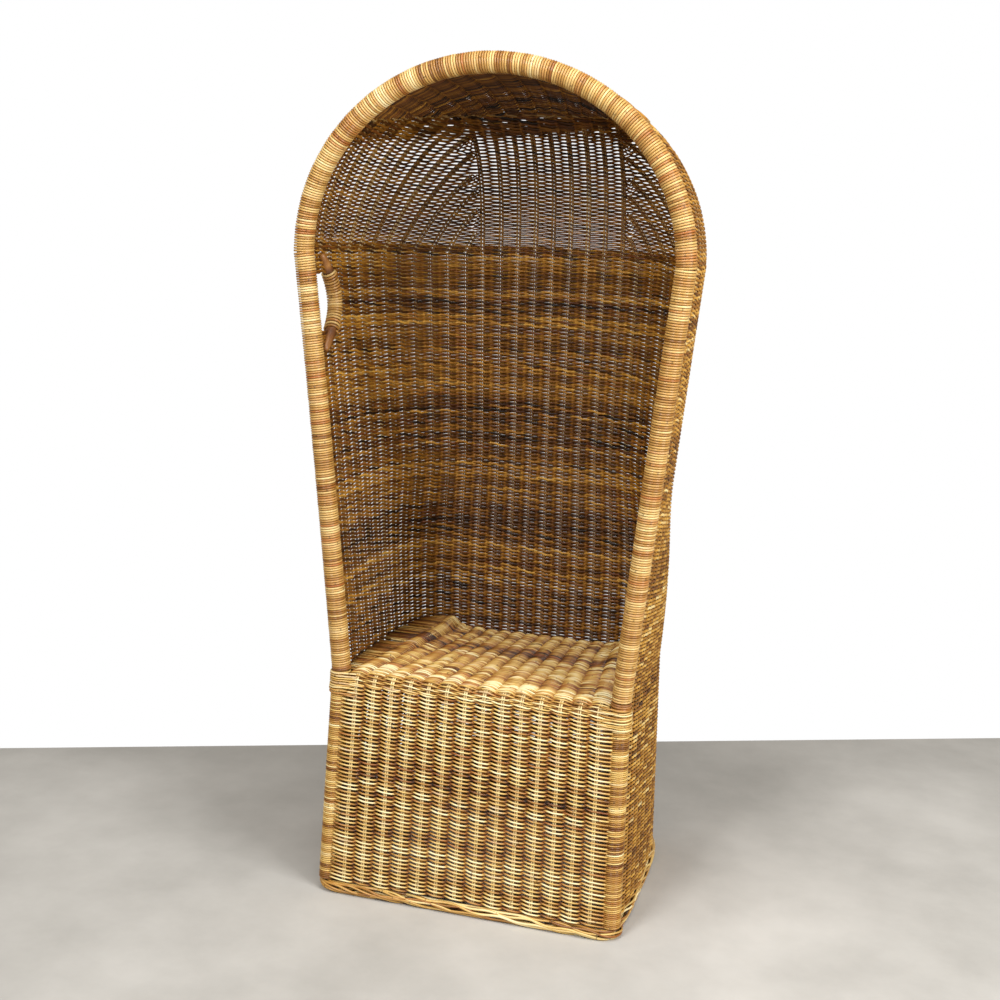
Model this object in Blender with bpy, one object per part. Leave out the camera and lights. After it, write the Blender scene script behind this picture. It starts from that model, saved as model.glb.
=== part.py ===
"""A porters chair of rattan: a bent front arch wound with cane, woven panels, and the pole frame inside.

Metres, +Z up, the front facing -Y. Each piece is drawn from the line of the arch pole at the seat, and the
empty that carries them all centres the chair on the origin, standing on the floor.
"""

import math

import bmesh
import bpy
import numpy as np
from mathutils import Matrix, Vector

# The chair
SEAT_HEIGHT = 0.450  # top of the seat's front edge
SPRING_HEIGHT = 1.252  # the straight sides end here, and the hood begins
ARCH_TOP = 1.590  # centre of the arch pole at the top of the hood
SEAT_HALF_WIDTH = 0.280  # centre of the arch pole at the seat
HOOD_HALF_WIDTH = 0.356  # centre of the arch pole at the spring
FOOT_HALF_WIDTH = 0.290  # centre of the arch pole at the floor
ARCH_FORWARD = 0.034  # how far the top of the arch stands before its line at the seat
FOOT_FORWARD = 0.033  # how far the front feet stand before that line
SEAT_DEPTH = 0.4625  # middle of the woven back at the seat and below
HOOD_DEPTH = 0.425  # middle of the woven back at the spring and above
SIDE_BOW_SHARE = -0.095  # how the sides bow between the seat and the spring
CLEARANCE = 0.0003

# The woven skins
SKIN = 0.011
SIDE_BULGE = 0.010  # how far the sides stand out beyond the arch pole's line
BULGE_RISE_SHARE = 0.25
SEAT_SQUARENESS = 6.8
HOOD_SQUARENESS = 3.0
ROUNDING_HEIGHT = 0.40  # above the seat, the height in which the corners grow rounder
SIDE_STEPS = 9
BACK_STEPS = 8
CORNER_CROWDING = 1.5  # power that draws the steps together at the corners
WALL_BAYS = 36  # between the pairs of stakes that stand round the sides and the back
FRONT_BAYS = 15
STAKE_GROOVE = 0.0020  # on each face, how much thinner the weave is midway between two stakes
WALL_FINENESS = 8  # how many times finer than the steps the wall's line is measured, to space the stakes
SEAM_HALF_WIDTH = 0.150
ROOF_START_SHARE = 0.695  # of the hood's rise, where the close weave over it begins at the arch
ROOF_RISE_SHARE = 0.12

# Poles
ARCH_POLE_RADIUS = 0.014
LEG_POLE_RADIUS = 0.012
SEAT_RAIL_RADIUS = 0.011
FOOT_RAIL_RADIUS = 0.008
BEARER_RADIUS = 0.009
FOOT_RAIL_HEIGHT = 0.045
BEARER_SPACING = 0.130
TILT_SHARE = 0.12  # of a pole's radius, the room that the tilt of its end takes

# Wound cane
ARCH_WRAP_RADIUS = 0.0195
ARCH_WRAP_GROOVE = 0.0017
ARCH_RIBS = 150
LEG_WRAP_RADIUS = 0.019
FRONT_EDGE_SHARE = 0.5  # of the leg wrap's radius, from its middle to the edge of the base's front panel
WRAP_CLEARANCE = 0.0008
LASHING_RADIUS = 0.0023

# Seat
SEAT_FALL = 0.022  # how much lower the seat's middle lies at the back
EDGE_STRIP = 0.040  # the woven strip over each side rail, which stays level
EDGE_SLOPE = 0.030
SEAT_COLUMN_SHARES = (-1, -0.93, -0.86, -0.8, -0.74, -0.5, 0, 0.5, 0.74, 0.8, 0.86, 0.93, 1)

# Foot border
BORDER_SIZE = 0.023
BORDER_CORNER = 0.030

# Handle behind the left rim
HANDLE_DROP = 0.004  # from the spring down to the rod's upper tip
HANDLE_LENGTH = 0.182
HANDLE_INSET = 0.004  # from the middle of the wall in towards the seat
HANDLE_TIP_BACK = 0.0845  # from the arch pole's line back to the rod's upper tip
HANDLE_REACH = 0.045  # from the upper tip back to the bend
HANDLE_BACK_SHARES = (0, 0.665, 0.99, 1, 0.425, -0.49)  # of the reach, at even steps down the rod
HANDLE_WOUND_SHARES = (0.20, 0.80)
HANDLE_ROD_RADIUS = 0.0105
HANDLE_TIP_RADIUS = 0.005
HANDLE_STRAND_RADIUS = 0.0024
HANDLE_TURNS = 18
POINTS_PER_TURN = 10
HANDLE_END_ROOM = 0.008  # room in the wall past each end of the winding
CUT_OVERRUN = 0.030

ROOF_HEIGHT = SPRING_HEIGHT + ROOF_START_SHARE * (ARCH_TOP - SPRING_HEIGHT)
HANDLE_TOP = SPRING_HEIGHT - HANDLE_DROP
HANDLE_WOUND_RADIUS = HANDLE_ROD_RADIUS + 2 * HANDLE_STRAND_RADIUS + WRAP_CLEARANCE
LASHING_RING_RADIUS = ARCH_POLE_RADIUS + WRAP_CLEARANCE + LASHING_RADIUS
LASHING_OUTER_RADIUS = LASHING_RING_RADIUS + LASHING_RADIUS
LASHING_HEIGHT = SEAT_HEIGHT + LASHING_RADIUS
SEAT_RAIL_HEIGHT = SEAT_HEIGHT - SKIN - CLEARANCE - SEAT_RAIL_RADIUS
BORDER_TOP = BORDER_SIZE + CLEARANCE


def clear_scene():
    for old in list(bpy.data.objects):
        bpy.data.objects.remove(old)


def rattan(name, colour, roughness):
    """A plain material of one colour for one piece."""
    material = bpy.data.materials.new(name)
    material.use_nodes = True
    shader = material.node_tree.nodes["Principled BSDF"]
    shader.inputs["Base Color"].default_value = (*colour, 1.0)
    shader.inputs["Roughness"].default_value = roughness
    shader.inputs["Metallic"].default_value = 0.0
    material.diffuse_color = (*colour, 1.0)
    return material


def place(name, data, colour=None, roughness=0.5):
    """An object of this data under the chair's empty. Without a colour it is a hidden cutter."""
    piece = bpy.data.objects.new(name, data)
    bpy.context.scene.collection.objects.link(piece)
    piece.parent = CHAIR
    if colour is None:
        piece.hide_render = True
        piece.display_type = "WIRE"
    else:
        data.materials.append(rattan(name, colour, roughness))
    return piece


def mesh_of(name, shape):
    """Closes a bmesh into a mesh with outward faces, smooth but for its sharp edges."""
    bmesh.ops.recalc_face_normals(shape, faces=shape.faces)
    mesh = bpy.data.meshes.new(name)
    shape.to_mesh(mesh)
    shape.free()
    mesh.shade_smooth()
    mesh.set_sharp_from_angle(angle=math.radians(40))
    return mesh


def cut(piece, cutter):
    modifier = piece.modifiers.new(cutter.name, "BOOLEAN")
    modifier.operation = "DIFFERENCE"
    modifier.object = cutter


# The lines that the frame and the skins share


def side_line(z):
    """Half width of the arch pole's line at height z."""
    z = np.asarray(z, float)
    up = np.clip((z - SEAT_HEIGHT) / (SPRING_HEIGHT - SEAT_HEIGHT), 0, 1)
    above = SEAT_HALF_WIDTH + (HOOD_HALF_WIDTH - SEAT_HALF_WIDTH) * (up + SIDE_BOW_SHARE * up * (1 - up))
    down = (SEAT_HEIGHT - z) / SEAT_HEIGHT
    below = SEAT_HALF_WIDTH + (FOOT_HALF_WIDTH - SEAT_HALF_WIDTH) * down
    return np.where(z < SEAT_HEIGHT, below, above)


def front_line(z):
    """How far back the arch pole's line stands at height z."""
    z = np.asarray(z, float)
    above = -ARCH_FORWARD * (z - SEAT_HEIGHT) / (ARCH_TOP - SEAT_HEIGHT)
    below = -FOOT_FORWARD * (SEAT_HEIGHT - z) / SEAT_HEIGHT
    return np.where(z < SEAT_HEIGHT, below, above)


def back_line(z):
    """How far back the middle of the woven back stands at height z."""
    up = np.clip((np.asarray(z, float) - SEAT_HEIGHT) / (SPRING_HEIGHT - SEAT_HEIGHT), 0, 1)
    return SEAT_DEPTH + (HOOD_DEPTH - SEAT_DEPTH) * up


def squareness(z):
    """The power of the plan's curve at height z: high where the corners are square."""
    up = np.clip((np.asarray(z, float) - SEAT_HEIGHT) / ROUNDING_HEIGHT, 0, 1)
    return SEAT_SQUARENESS + (HOOD_SQUARENESS - SEAT_SQUARENESS) * up * up * (3 - 2 * up)


def bulge(deep):
    return SIDE_BULGE * np.sin(np.minimum(deep / BULGE_RISE_SHARE, 1) * math.pi / 2)


def wide_at(deep, power):
    """The plan's curve: the share of the half width left at this share of the depth."""
    return np.maximum(1 - deep**power, 0) ** (1 / power)


def skin_half_width(z, y):
    """Half width of the skin's middle at height z, up to the spring, and depth y."""
    deep = (y - front_line(z)) / (back_line(z) - front_line(z))
    return (side_line(z) + bulge(deep)) * wide_at(deep, squareness(z))


def half_plan(z, finer=1):
    """Shares of depth and half width from the arch round to the middle of the back."""
    power = squareness(z)
    first = (ARCH_WRAP_RADIUS + CLEARANCE) / (back_line(z) - front_line(z))
    corner = 2 ** (-1 / power)
    deep_side = corner - (corner - first) * np.linspace(1, 0, SIDE_STEPS * finer + 1) ** CORNER_CROWDING
    wide_back = corner * (1 - np.linspace(0, 1, BACK_STEPS * finer + 1)[1:] ** CORNER_CROWDING)
    deep = np.concatenate([deep_side, wide_at(wide_back, power)])
    wide = np.concatenate([wide_at(deep_side, power), wide_back])
    return deep, wide


def skin_row(z, finer=1):
    """Points of the skin's middle at height z, from the left rim round the back to the right rim."""
    deep, wide = half_plan(z, finer)
    x = (side_line(z) + bulge(deep)) * wide
    y = front_line(z) + (back_line(z) - front_line(z)) * deep
    x = np.concatenate([-x, x[-2::-1]])
    y = np.concatenate([y, y[-2::-1]])
    return np.stack([x, y, np.full(len(x), z)], axis=-1)


def hood_row(angle):
    """Points of the hood's middle from the arch, at this angle above the spring, to the middle of the back."""
    rise = ARCH_TOP - SPRING_HEIGHT
    deep, wide = half_plan(SPRING_HEIGHT + rise * math.sin(angle))
    x = -(HOOD_HALF_WIDTH + bulge(deep)) * wide * math.cos(angle)
    z = SPRING_HEIGHT + (rise + bulge(deep)) * wide * math.sin(angle)
    y = front_line(z) + (back_line(z) - front_line(z)) * deep
    return np.stack([x, y, z], axis=-1)


def unit(vectors):
    return vectors / np.maximum(np.linalg.norm(vectors, axis=-1, keepdims=True), 1e-12)


def evenly(points, count):
    """The same route with count equal steps."""
    steps = np.linalg.norm(np.diff(points, axis=0), axis=1)
    along = np.concatenate([[0], np.cumsum(steps)])
    at = np.linspace(0, along[-1], count + 1)
    return np.stack([np.interp(at, along, points[:, axis]) for axis in range(3)], axis=-1)


def smooth_route(points, steps):
    """A cubic B-spline drawn by the points, each stretch with this many steps, from the first to the last."""
    padded = np.concatenate([2 * points[:1] - points[1:2], points, 2 * points[-1:] - points[-2:-1]])
    t = np.linspace(0, 1, steps, endpoint=False)[:, None]
    route = []
    for a, b, c, d in zip(padded, padded[1:], padded[2:], padded[3:]):
        weights = ((1 - t) ** 3, 3 * t**3 - 6 * t**2 + 4, 3 * (t + t**2 - t**3) + 1, t**3)
        route.append(sum(weight * point for weight, point in zip(weights, (a, b, c, d))) / 6)
    return np.concatenate([*route, points[-1:]])


def arch_route(low, count):
    """The arch pole's line in equal steps, from height low on the left over the hood to low on the right."""
    z = np.linspace(low, SPRING_HEIGHT, 120)
    angle = np.linspace(math.pi, 0, 240)
    x = np.concatenate([-side_line(z), HOOD_HALF_WIDTH * np.cos(angle), side_line(z[::-1])])
    arc_z = SPRING_HEIGHT + (ARCH_TOP - SPRING_HEIGHT) * np.sin(angle)
    height = np.concatenate([z, arc_z, z[::-1]])
    return evenly(np.stack([x, front_line(height), height], axis=-1), count)


def handle_route(count):
    """The handle rod's line, in the left wall, from its upper tip to its lower one."""
    back = np.array(HANDLE_BACK_SHARES)
    z = np.linspace(HANDLE_TOP, HANDLE_TOP - HANDLE_LENGTH, len(back))
    y = front_line(HANDLE_TOP) + HANDLE_TIP_BACK + HANDLE_REACH * back
    x = HANDLE_INSET - skin_half_width(z, y)
    return evenly(smooth_route(np.stack([x, y, z], axis=-1), 12), count)


# Solids


def rings_of(route, radii, sides, across):
    """Rings of points round a route. across is a direction that the route never takes."""
    along = unit(np.gradient(route, axis=0))
    first = unit(np.cross(along, across))
    second = np.cross(along, first)
    turn = (np.arange(sides) + 0.5) * 2 * math.pi / sides
    spoke = first[:, None] * np.cos(turn)[:, None] + second[:, None] * np.sin(turn)[:, None]
    return route[:, None] + spoke * np.asarray(radii)[:, None, None]


def bridge(shape, rings):
    for lower, upper in zip(rings, rings[1:]):
        for i in range(len(lower)):
            shape.faces.new((lower[i - 1], lower[i], upper[i], upper[i - 1]))


def tube_mesh(name, route, radii, sides, across):
    """A closed tube along the route."""
    shape = bmesh.new()
    rings = [[shape.verts.new(p) for p in ring] for ring in rings_of(route, radii, sides, across)]
    bridge(shape, rings)
    shape.faces.new(rings[0])
    shape.faces.new(rings[-1])
    return mesh_of(name, shape)


def sleeve_mesh(name, route, radii, bore_route, bore_radius, sides, across):
    """A tube with a bore whose flats keep bore_radius. Both routes start and end at the same points."""
    shape = bmesh.new()
    outside = [[shape.verts.new(p) for p in ring] for ring in rings_of(route, radii, sides, across)]
    corner_radius = np.full(len(bore_route), bore_radius / math.cos(math.pi / sides))
    inside = [[shape.verts.new(p) for p in ring] for ring in rings_of(bore_route, corner_radius, sides, across)]
    bridge(shape, outside)
    bridge(shape, inside)
    bridge(shape, [outside[0], inside[0]])
    bridge(shape, [outside[-1], inside[-1]])
    return mesh_of(name, shape)


def pole_curve(name, route, radius, resolution):
    """A bent pole or strand: a bevelled curve with closed ends."""
    curve = bpy.data.curves.new(name, "CURVE")
    curve.dimensions = "3D"
    curve.bevel_depth = radius
    curve.bevel_resolution = resolution
    curve.use_fill_caps = True
    spline = curve.splines.new("POLY")
    spline.points.add(len(route) - 1)
    for point, middle in zip(spline.points, route):
        point.co = (*middle, 1)
    return curve


def rod_mesh(name, start, end, radius, sides=12):
    """A straight pole from start to end."""
    start, end = Vector(start), Vector(end)
    direction = end - start
    turn = direction.to_track_quat("Z", "Y").to_matrix().to_4x4()
    shape = bmesh.new()
    bmesh.ops.create_cone(
        shape,
        cap_ends=True,
        segments=sides,
        radius1=radius,
        radius2=radius,
        depth=direction.length,
        matrix=Matrix.Translation((start + end) / 2) @ turn,
    )
    return mesh_of(name, shape)


def skin_shape(middle, normals, thickness=SKIN, pole=False, floor=None):
    """A skin about a grid of middle points. The thickness is one number, or one for each column.

    With pole, the last column is one point.
    """
    shape = bmesh.new()
    layers = []
    for side in (0.5, -0.5):
        points = middle + normals * thickness * side
        if floor is not None:
            points[..., 2] = np.maximum(points[..., 2], floor)
        layers.append([[shape.verts.new(p) for p in row] for row in points])
    rows, columns = middle.shape[:2]
    for layer in layers:
        for i in range(rows - 1):
            for j in range(columns - 1):
                shape.faces.new((layer[i][j], layer[i + 1][j], layer[i + 1][j + 1], layer[i][j + 1]))
    outer, inner = layers
    for i in (0, rows - 1):
        bridge_strip(shape, outer[i], inner[i])
    for j in (0,) if pole else (0, columns - 1):
        bridge_strip(shape, [row[j] for row in outer], [row[j] for row in inner])
    if pole:
        bmesh.ops.remove_doubles(shape, verts=shape.verts, dist=CLEARANCE / 100)
    return shape


def bridge_strip(shape, first, second):
    for i in range(len(first) - 1):
        shape.faces.new((first[i], first[i + 1], second[i + 1], second[i]))


def grid_normals(grid):
    """Unit normals of a grid of points, outward where its rows climb and its columns run left to right."""
    return unit(np.cross(np.gradient(grid, axis=0), np.gradient(grid, axis=1)))


def trim(shape, point, normal):
    """Cuts away what lies past the plane and closes the cut."""
    everything = [*shape.verts, *shape.edges, *shape.faces]
    found = bmesh.ops.bisect_plane(
        shape, geom=everything, plane_co=point, plane_no=normal, clear_outer=True, dist=CLEARANCE / 1000
    )
    edges = [e for e in found["geom_cut"] if isinstance(e, bmesh.types.BMEdge)]
    bmesh.ops.edgeloop_fill(shape, edges=edges)


# Frame


def make_arch_pole():
    foot = leg_point(BORDER_TOP + ARCH_POLE_RADIUS * TILT_SHARE)
    route = [foot, *arch_route(SEAT_HEIGHT, 80), mirrored(foot)]
    place("front_arch_pole", pole_curve("front_arch_pole", route, ARCH_POLE_RADIUS, 2), (0.45, 0.27, 0.12))


def rear_leg_point(z):
    """Centre of the left rear leg, in the corner of the skin at height z."""
    corner = 2 ** (-1 / squareness(z))
    half_width = side_line(z) + SIDE_BULGE
    depth = back_line(z) - front_line(z)
    outward = unit(np.array([-1 / half_width, 1 / depth]))
    middle = np.array([-half_width * corner, front_line(z) + depth * corner])
    x, y = middle - outward * (SKIN / 2 + 3 * CLEARANCE + LEG_POLE_RADIUS)
    return Vector((x, y, z))


def mirrored(point):
    return Vector((-point[0], point[1], point[2]))


def make_rear_legs():
    foot = rear_leg_point(BORDER_TOP + LEG_POLE_RADIUS * TILT_SHARE)
    top = rear_leg_point(SEAT_HEIGHT - SKIN - CLEARANCE - LEG_POLE_RADIUS * TILT_SHARE)
    place("rear_leg_left", rod_mesh("rear_leg_left", foot, top, LEG_POLE_RADIUS), (0.42, 0.26, 0.12))
    right = rod_mesh("rear_leg_right", mirrored(foot), mirrored(top), LEG_POLE_RADIUS)
    place("rear_leg_right", right, (0.42, 0.26, 0.12))


def leg_point(z):
    """Centre of the left front leg at height z."""
    return Vector((-side_line(z), front_line(z), z))


def rail_ends(z, radius):
    """Ends of the left side rail and of the front rail at height z: where each butts on its poles."""
    leg = leg_point(z)
    front_y = leg.y - LEG_WRAP_RADIUS + SKIN + CLEARANCE + radius
    front = Vector((leg.x + ARCH_POLE_RADIUS + CLEARANCE, front_y, z))
    start_y = front_y + radius * (1 + TILT_SHARE) + CLEARANCE
    at_edge = leg.y + ARCH_WRAP_RADIUS + CLEARANCE
    start_x = -skin_half_width(z, at_edge) + SKIN / 2 + CLEARANCE + radius
    start = Vector((start_x, max(start_y, leg.y + ARCH_POLE_RADIUS + CLEARANCE), z))
    rear = rear_leg_point(z)
    end = rear + (start - rear).normalized() * (LEG_POLE_RADIUS + CLEARANCE + radius * TILT_SHARE)
    return front, start, end


def make_rails(level, z, radius, rear_z):
    """The four rails at one level. The leg wraps are cut by the returned cutters."""
    front, start, end = rail_ends(z, radius)
    cutters = []
    reach = Vector((LEG_WRAP_RADIUS, 0, 0))
    back = Vector((0, LEG_WRAP_RADIUS, 0))
    for side, turned in (("left", Vector), ("right", mirrored)):
        name = f"{level}_rail_{side}"
        place(name, rod_mesh(name, turned(start), turned(end), radius), (0.45, 0.28, 0.13))
        for hole, low, high in (("front", front - reach / 2, front + reach), ("side", start - back / 2, start + back)):
            hole_name = f"{level}_{hole}_hole_{side}"
            mesh = rod_mesh(hole_name, turned(low), turned(high), radius + CLEARANCE)
            cutters.append((side, place(hole_name, mesh)))
    name = f"{level}_rail_front"
    place(name, rod_mesh(name, front, mirrored(front), radius), (0.45, 0.28, 0.13))
    rear = rear_leg_point(rear_z)
    rear_end = rear + Vector((LEG_POLE_RADIUS + CLEARANCE, 0, 0))
    name = f"{level}_rail_rear"
    place(name, rod_mesh(name, rear_end, mirrored(rear_end), radius), (0.45, 0.28, 0.13))
    return cutters


def seat_underside(y):
    """Height of the underside of the seat's middle at depth y."""
    return SEAT_HEIGHT - SKIN - SEAT_FALL * y / SEAT_DEPTH


def rear_rail_height():
    """Height of the seat's rear rail, just under the seat's low back edge."""
    behind = rear_leg_point(SEAT_RAIL_HEIGHT).y + SEAT_RAIL_RADIUS
    return seat_underside(behind) - CLEARANCE - SEAT_RAIL_RADIUS


def make_bearers():
    front_y = rail_ends(SEAT_RAIL_HEIGHT, SEAT_RAIL_RADIUS)[0].y + SEAT_RAIL_RADIUS + CLEARANCE
    back_y = rear_leg_point(SEAT_RAIL_HEIGHT).y - SEAT_RAIL_RADIUS - CLEARANCE
    drop = BEARER_RADIUS + CLEARANCE
    for side, x in (("left", -BEARER_SPACING), ("middle", 0), ("right", BEARER_SPACING)):
        name = f"seat_bearer_{side}"
        start = (x, front_y, seat_underside(front_y) - drop)
        end = (x, back_y, seat_underside(back_y) - drop)
        place(name, rod_mesh(name, start, end, BEARER_RADIUS), (0.45, 0.28, 0.13))


# Wound cane


def make_arch_wrap():
    """Ribs round the arch pole from the lashing on one side to the lashing on the other."""
    low = LASHING_HEIGHT + LASHING_RADIUS + 2 * CLEARANCE + ARCH_WRAP_RADIUS * TILT_SHARE
    end_steps = 4
    steps = 2 * ARCH_RIBS + 2 * end_steps
    route = arch_route(low, steps)
    radii = np.full(len(route), ARCH_WRAP_RADIUS - ARCH_WRAP_GROOVE / 2)
    radii[end_steps:-end_steps:2] = ARCH_WRAP_RADIUS
    radii[end_steps + 1 : -end_steps : 2] = ARCH_WRAP_RADIUS - ARCH_WRAP_GROOVE
    bore_route = arch_route(low, 72)
    bore = ARCH_POLE_RADIUS + WRAP_CLEARANCE
    mesh = sleeve_mesh("arch_wrap", route, radii, bore_route, bore, 8, (0, 1, 0))
    place("arch_wrap", mesh, (0.72, 0.47, 0.20), 0.4)


def make_leg_wraps(cutters):
    """The smooth wound columns at the base's front corners, let in for the rails."""
    room = LEG_WRAP_RADIUS * TILT_SHARE
    low, high = leg_point(BORDER_TOP + room), leg_point(SEAT_HEIGHT - CLEARANCE - room)
    for side, turned in (("left", Vector), ("right", mirrored)):
        name = f"leg_wrap_{side}"
        route = evenly(np.array([turned(low), turned(high)]), 1)
        radii = np.full(len(route), LEG_WRAP_RADIUS)
        bore = ARCH_POLE_RADIUS + WRAP_CLEARANCE
        piece = place(name, sleeve_mesh(name, route, radii, route, bore, 16, (0, 1, 0)), (0.66, 0.42, 0.18))
        for cutter_side, cutter in cutters:
            if cutter_side == side:
                cut(piece, cutter)


def make_lashings():
    """A dark ring round each side of the arch pole, on the seat."""
    for side, turned in (("left", Vector), ("right", mirrored)):
        name = f"arch_lashing_{side}"
        bpy.ops.mesh.primitive_torus_add(
            major_segments=20, minor_segments=8, major_radius=LASHING_RING_RADIUS, minor_radius=LASHING_RADIUS
        )
        piece = bpy.context.object
        piece.name = name
        piece.data.name = name
        piece.location = turned(leg_point(LASHING_HEIGHT + CLEARANCE))
        piece.parent = CHAIR
        piece.data.materials.append(rattan(name, (0.16, 0.09, 0.05), 0.6))
        piece.data.shade_smooth()


# Handle


def handle_radii(route, wound):
    """Radii along the rod, thin at its tips. With wound, those of the slot round the rod and its winding."""
    share = np.linspace(0, 1, len(route))
    first, last = HANDLE_WOUND_SHARES
    bare = np.minimum(share / first, (1 - share) / (1 - last))
    radii = HANDLE_TIP_RADIUS + (HANDLE_ROD_RADIUS - HANDLE_TIP_RADIUS) * np.clip(bare, 0, 1)
    if wound:
        length = np.linalg.norm(np.diff(route, axis=0), axis=1).sum()
        room = HANDLE_END_ROOM / length
        inside = (share > first - room) & (share < last + room)
        radii = np.where(inside, HANDLE_WOUND_RADIUS, radii) + CLEARANCE
    return radii


def make_handle_rod():
    route = handle_route(24)
    mesh = tube_mesh("handle_rod", route, handle_radii(route, False), 8, (1, 0, 0))
    place("handle_rod", mesh, (0.20, 0.11, 0.06), 0.5)


def winding_route():
    """A helix round the handle rod, with a straight end of one strand's width at each end."""
    first, last = HANDLE_WOUND_SHARES
    count = HANDLE_TURNS * POINTS_PER_TURN
    line = handle_route(40 * HANDLE_TURNS)
    share = np.linspace(first, last, count + 1)
    at = np.linspace(0, 1, len(line))
    middle = np.stack([np.interp(share, at, line[:, axis]) for axis in range(3)], axis=-1)
    along = unit(np.gradient(middle, axis=0))
    side = unit(np.cross(along, (1, 0, 0)))
    outward = np.cross(side, along)
    turn = np.arange(count + 1) * 2 * math.pi / POINTS_PER_TURN
    radius = HANDLE_WOUND_RADIUS - HANDLE_STRAND_RADIUS
    helix = middle + radius * (outward * np.cos(turn)[:, None] + side * np.sin(turn)[:, None])
    straight = 2 * HANDLE_STRAND_RADIUS
    start = helix[:1] - unit(helix[1:2] - helix[:1]) * straight
    end = helix[-1:] + unit(helix[-1:] - helix[-2:-1]) * straight
    return np.concatenate([start, helix, end])


def least_gap(route, radius, apart):
    """The least gap between stretches of a tube that lie at least apart points from each other."""
    fine = 4
    steps = np.linspace(0, len(route) - 1, fine * (len(route) - 1) + 1)
    at = np.arange(len(route))
    dense = np.stack([np.interp(steps, at, route[:, axis]) for axis in range(3)], axis=-1)
    distance = np.linalg.norm(dense[:, None] - dense[None], axis=-1)
    index = np.arange(len(dense))
    far = np.abs(index[:, None] - index[None]) >= apart * fine
    return distance[far].min() - 2 * radius


def make_handle_winding():
    route = winding_route()
    gap = least_gap(route, HANDLE_STRAND_RADIUS, POINTS_PER_TURN // 2)
    print(f"handle winding: {HANDLE_TURNS} turns, least gap to itself {gap * 1000:.2f} mm")
    place("handle_winding", pole_curve("handle_winding", route, HANDLE_STRAND_RADIUS, 1), (0.72, 0.47, 0.20), 0.4)


def handle_cutters():
    """The slot that the rod lies in, and the hand hole between the winding and the rim."""
    route = handle_route(48)
    tip = unit(route[:1] - route[1:2]) * CLEARANCE
    tail = unit(route[-1:] - route[-2:-1]) * CLEARANCE
    longer = np.concatenate([route[:1] + tip, route[1:-1], route[-1:] + tail])
    slot = place("handle_slot", tube_mesh("handle_slot", longer, handle_radii(longer, True), 12, (1, 0, 0)))
    first, last = HANDLE_WOUND_SHARES
    share = np.linspace(0, 1, len(route))
    edge = route[(share >= first) & (share <= last)]
    front = front_line(edge[[-1, 0], 2]) - CUT_OVERRUN
    outline = [*zip(edge[:, 1], edge[:, 2]), *zip(front, edge[[-1, 0], 2])]
    shape = bmesh.new()
    far_x = -side_line(HANDLE_TOP) - CUT_OVERRUN
    face = shape.faces.new([shape.verts.new((far_x, y, z)) for y, z in outline])
    extruded = bmesh.ops.extrude_face_region(shape, geom=[face])
    moved = [v for v in extruded["geom"] if isinstance(v, bmesh.types.BMVert)]
    bmesh.ops.translate(shape, verts=moved, vec=(2 * CUT_OVERRUN + SKIN, 0, 0))
    hole = place("handle_hole", mesh_of("handle_hole", shape))
    return slot, hole


# Woven skins


def ribbed(is_groove):
    """Each column's thickness: the whole skin at a pair of stakes, and less where there is a groove."""
    return (SKIN - 2 * STAKE_GROOVE * np.asarray(is_groove, float))[:, None]


def make_shell():
    """The close weave round the sides and the back, from the border to the spring, with a rib at each stake."""
    heights = (BORDER_TOP, *np.linspace(SEAT_HEIGHT, SPRING_HEIGHT, 9))
    grid = np.stack([evenly(skin_row(z, WALL_FINENESS), 2 * WALL_BAYS) for z in heights])
    thickness = ribbed(np.arange(2 * WALL_BAYS + 1) % 2)
    normals = grid_normals(grid)
    normals[..., 2] = 0
    seam, half_gap, right = Vector((SEAM_HALF_WIDTH, 0, 0)), Vector((CLEARANCE / 2, 0, 0)), Vector((1, 0, 0))
    pieces = {
        "shell_side_left": ((-seam - half_gap, right),),
        "shell_side_right": ((seam + half_gap, -right),),
        "shell_back": ((seam - half_gap, right), (half_gap - seam, -right)),
    }
    for name, planes in pieces.items():
        shape = skin_shape(grid, unit(normals), thickness)
        for point, normal in planes:
            trim(shape, point, normal)
        place(name, mesh_of(name, shape), (0.50, 0.31, 0.13), 0.55)
    for cutter in handle_cutters():
        cut(bpy.data.objects["shell_side_left"], cutter)


def make_hood():
    """The open weave of the hood's sides and back, and the close weave of its roof."""
    grid = np.stack([hood_row(angle) for angle in np.linspace(0, math.pi, 25)])
    normals = grid_normals(grid)
    normals[:, -1] = (0, 1, 0)
    half_gap = CLEARANCE / 2
    fall = Vector((0, -ROOF_RISE_SHARE, 1)).normalized()
    on_roof = Vector((0, front_line(ROOF_HEIGHT), ROOF_HEIGHT))
    seam = Vector((SEAM_HALF_WIDTH, 0, 0))
    gap = Vector((half_gap, 0, 0))
    right = Vector((1, 0, 0))
    under_roof = (on_roof - fall * half_gap, fall)
    pieces = {
        "hood_side_left": (under_roof, (-seam - gap, right)),
        "hood_side_right": (under_roof, (seam + gap, -right)),
        "hood_back": (under_roof, (seam - gap, right), (gap - seam, -right)),
        "hood_roof": ((on_roof + fall * half_gap, -fall),),
    }
    for name, planes in pieces.items():
        shape = skin_shape(grid, normals, pole=True, floor=SPRING_HEIGHT + CLEARANCE)
        for point, normal in planes:
            trim(shape, point, normal)
        place(name, mesh_of(name, shape), (0.52, 0.33, 0.14), 0.55)


def seat_half_width(y):
    """Half width of the seat at depth y: between the lashings, then out to the skin."""
    between = SEAT_HALF_WIDTH - LASHING_OUTER_RADIUS - CLEARANCE
    if y < LASHING_OUTER_RADIUS + CLEARANCE:
        return between
    return float(np.interp(y, *seat_side()))


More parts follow.
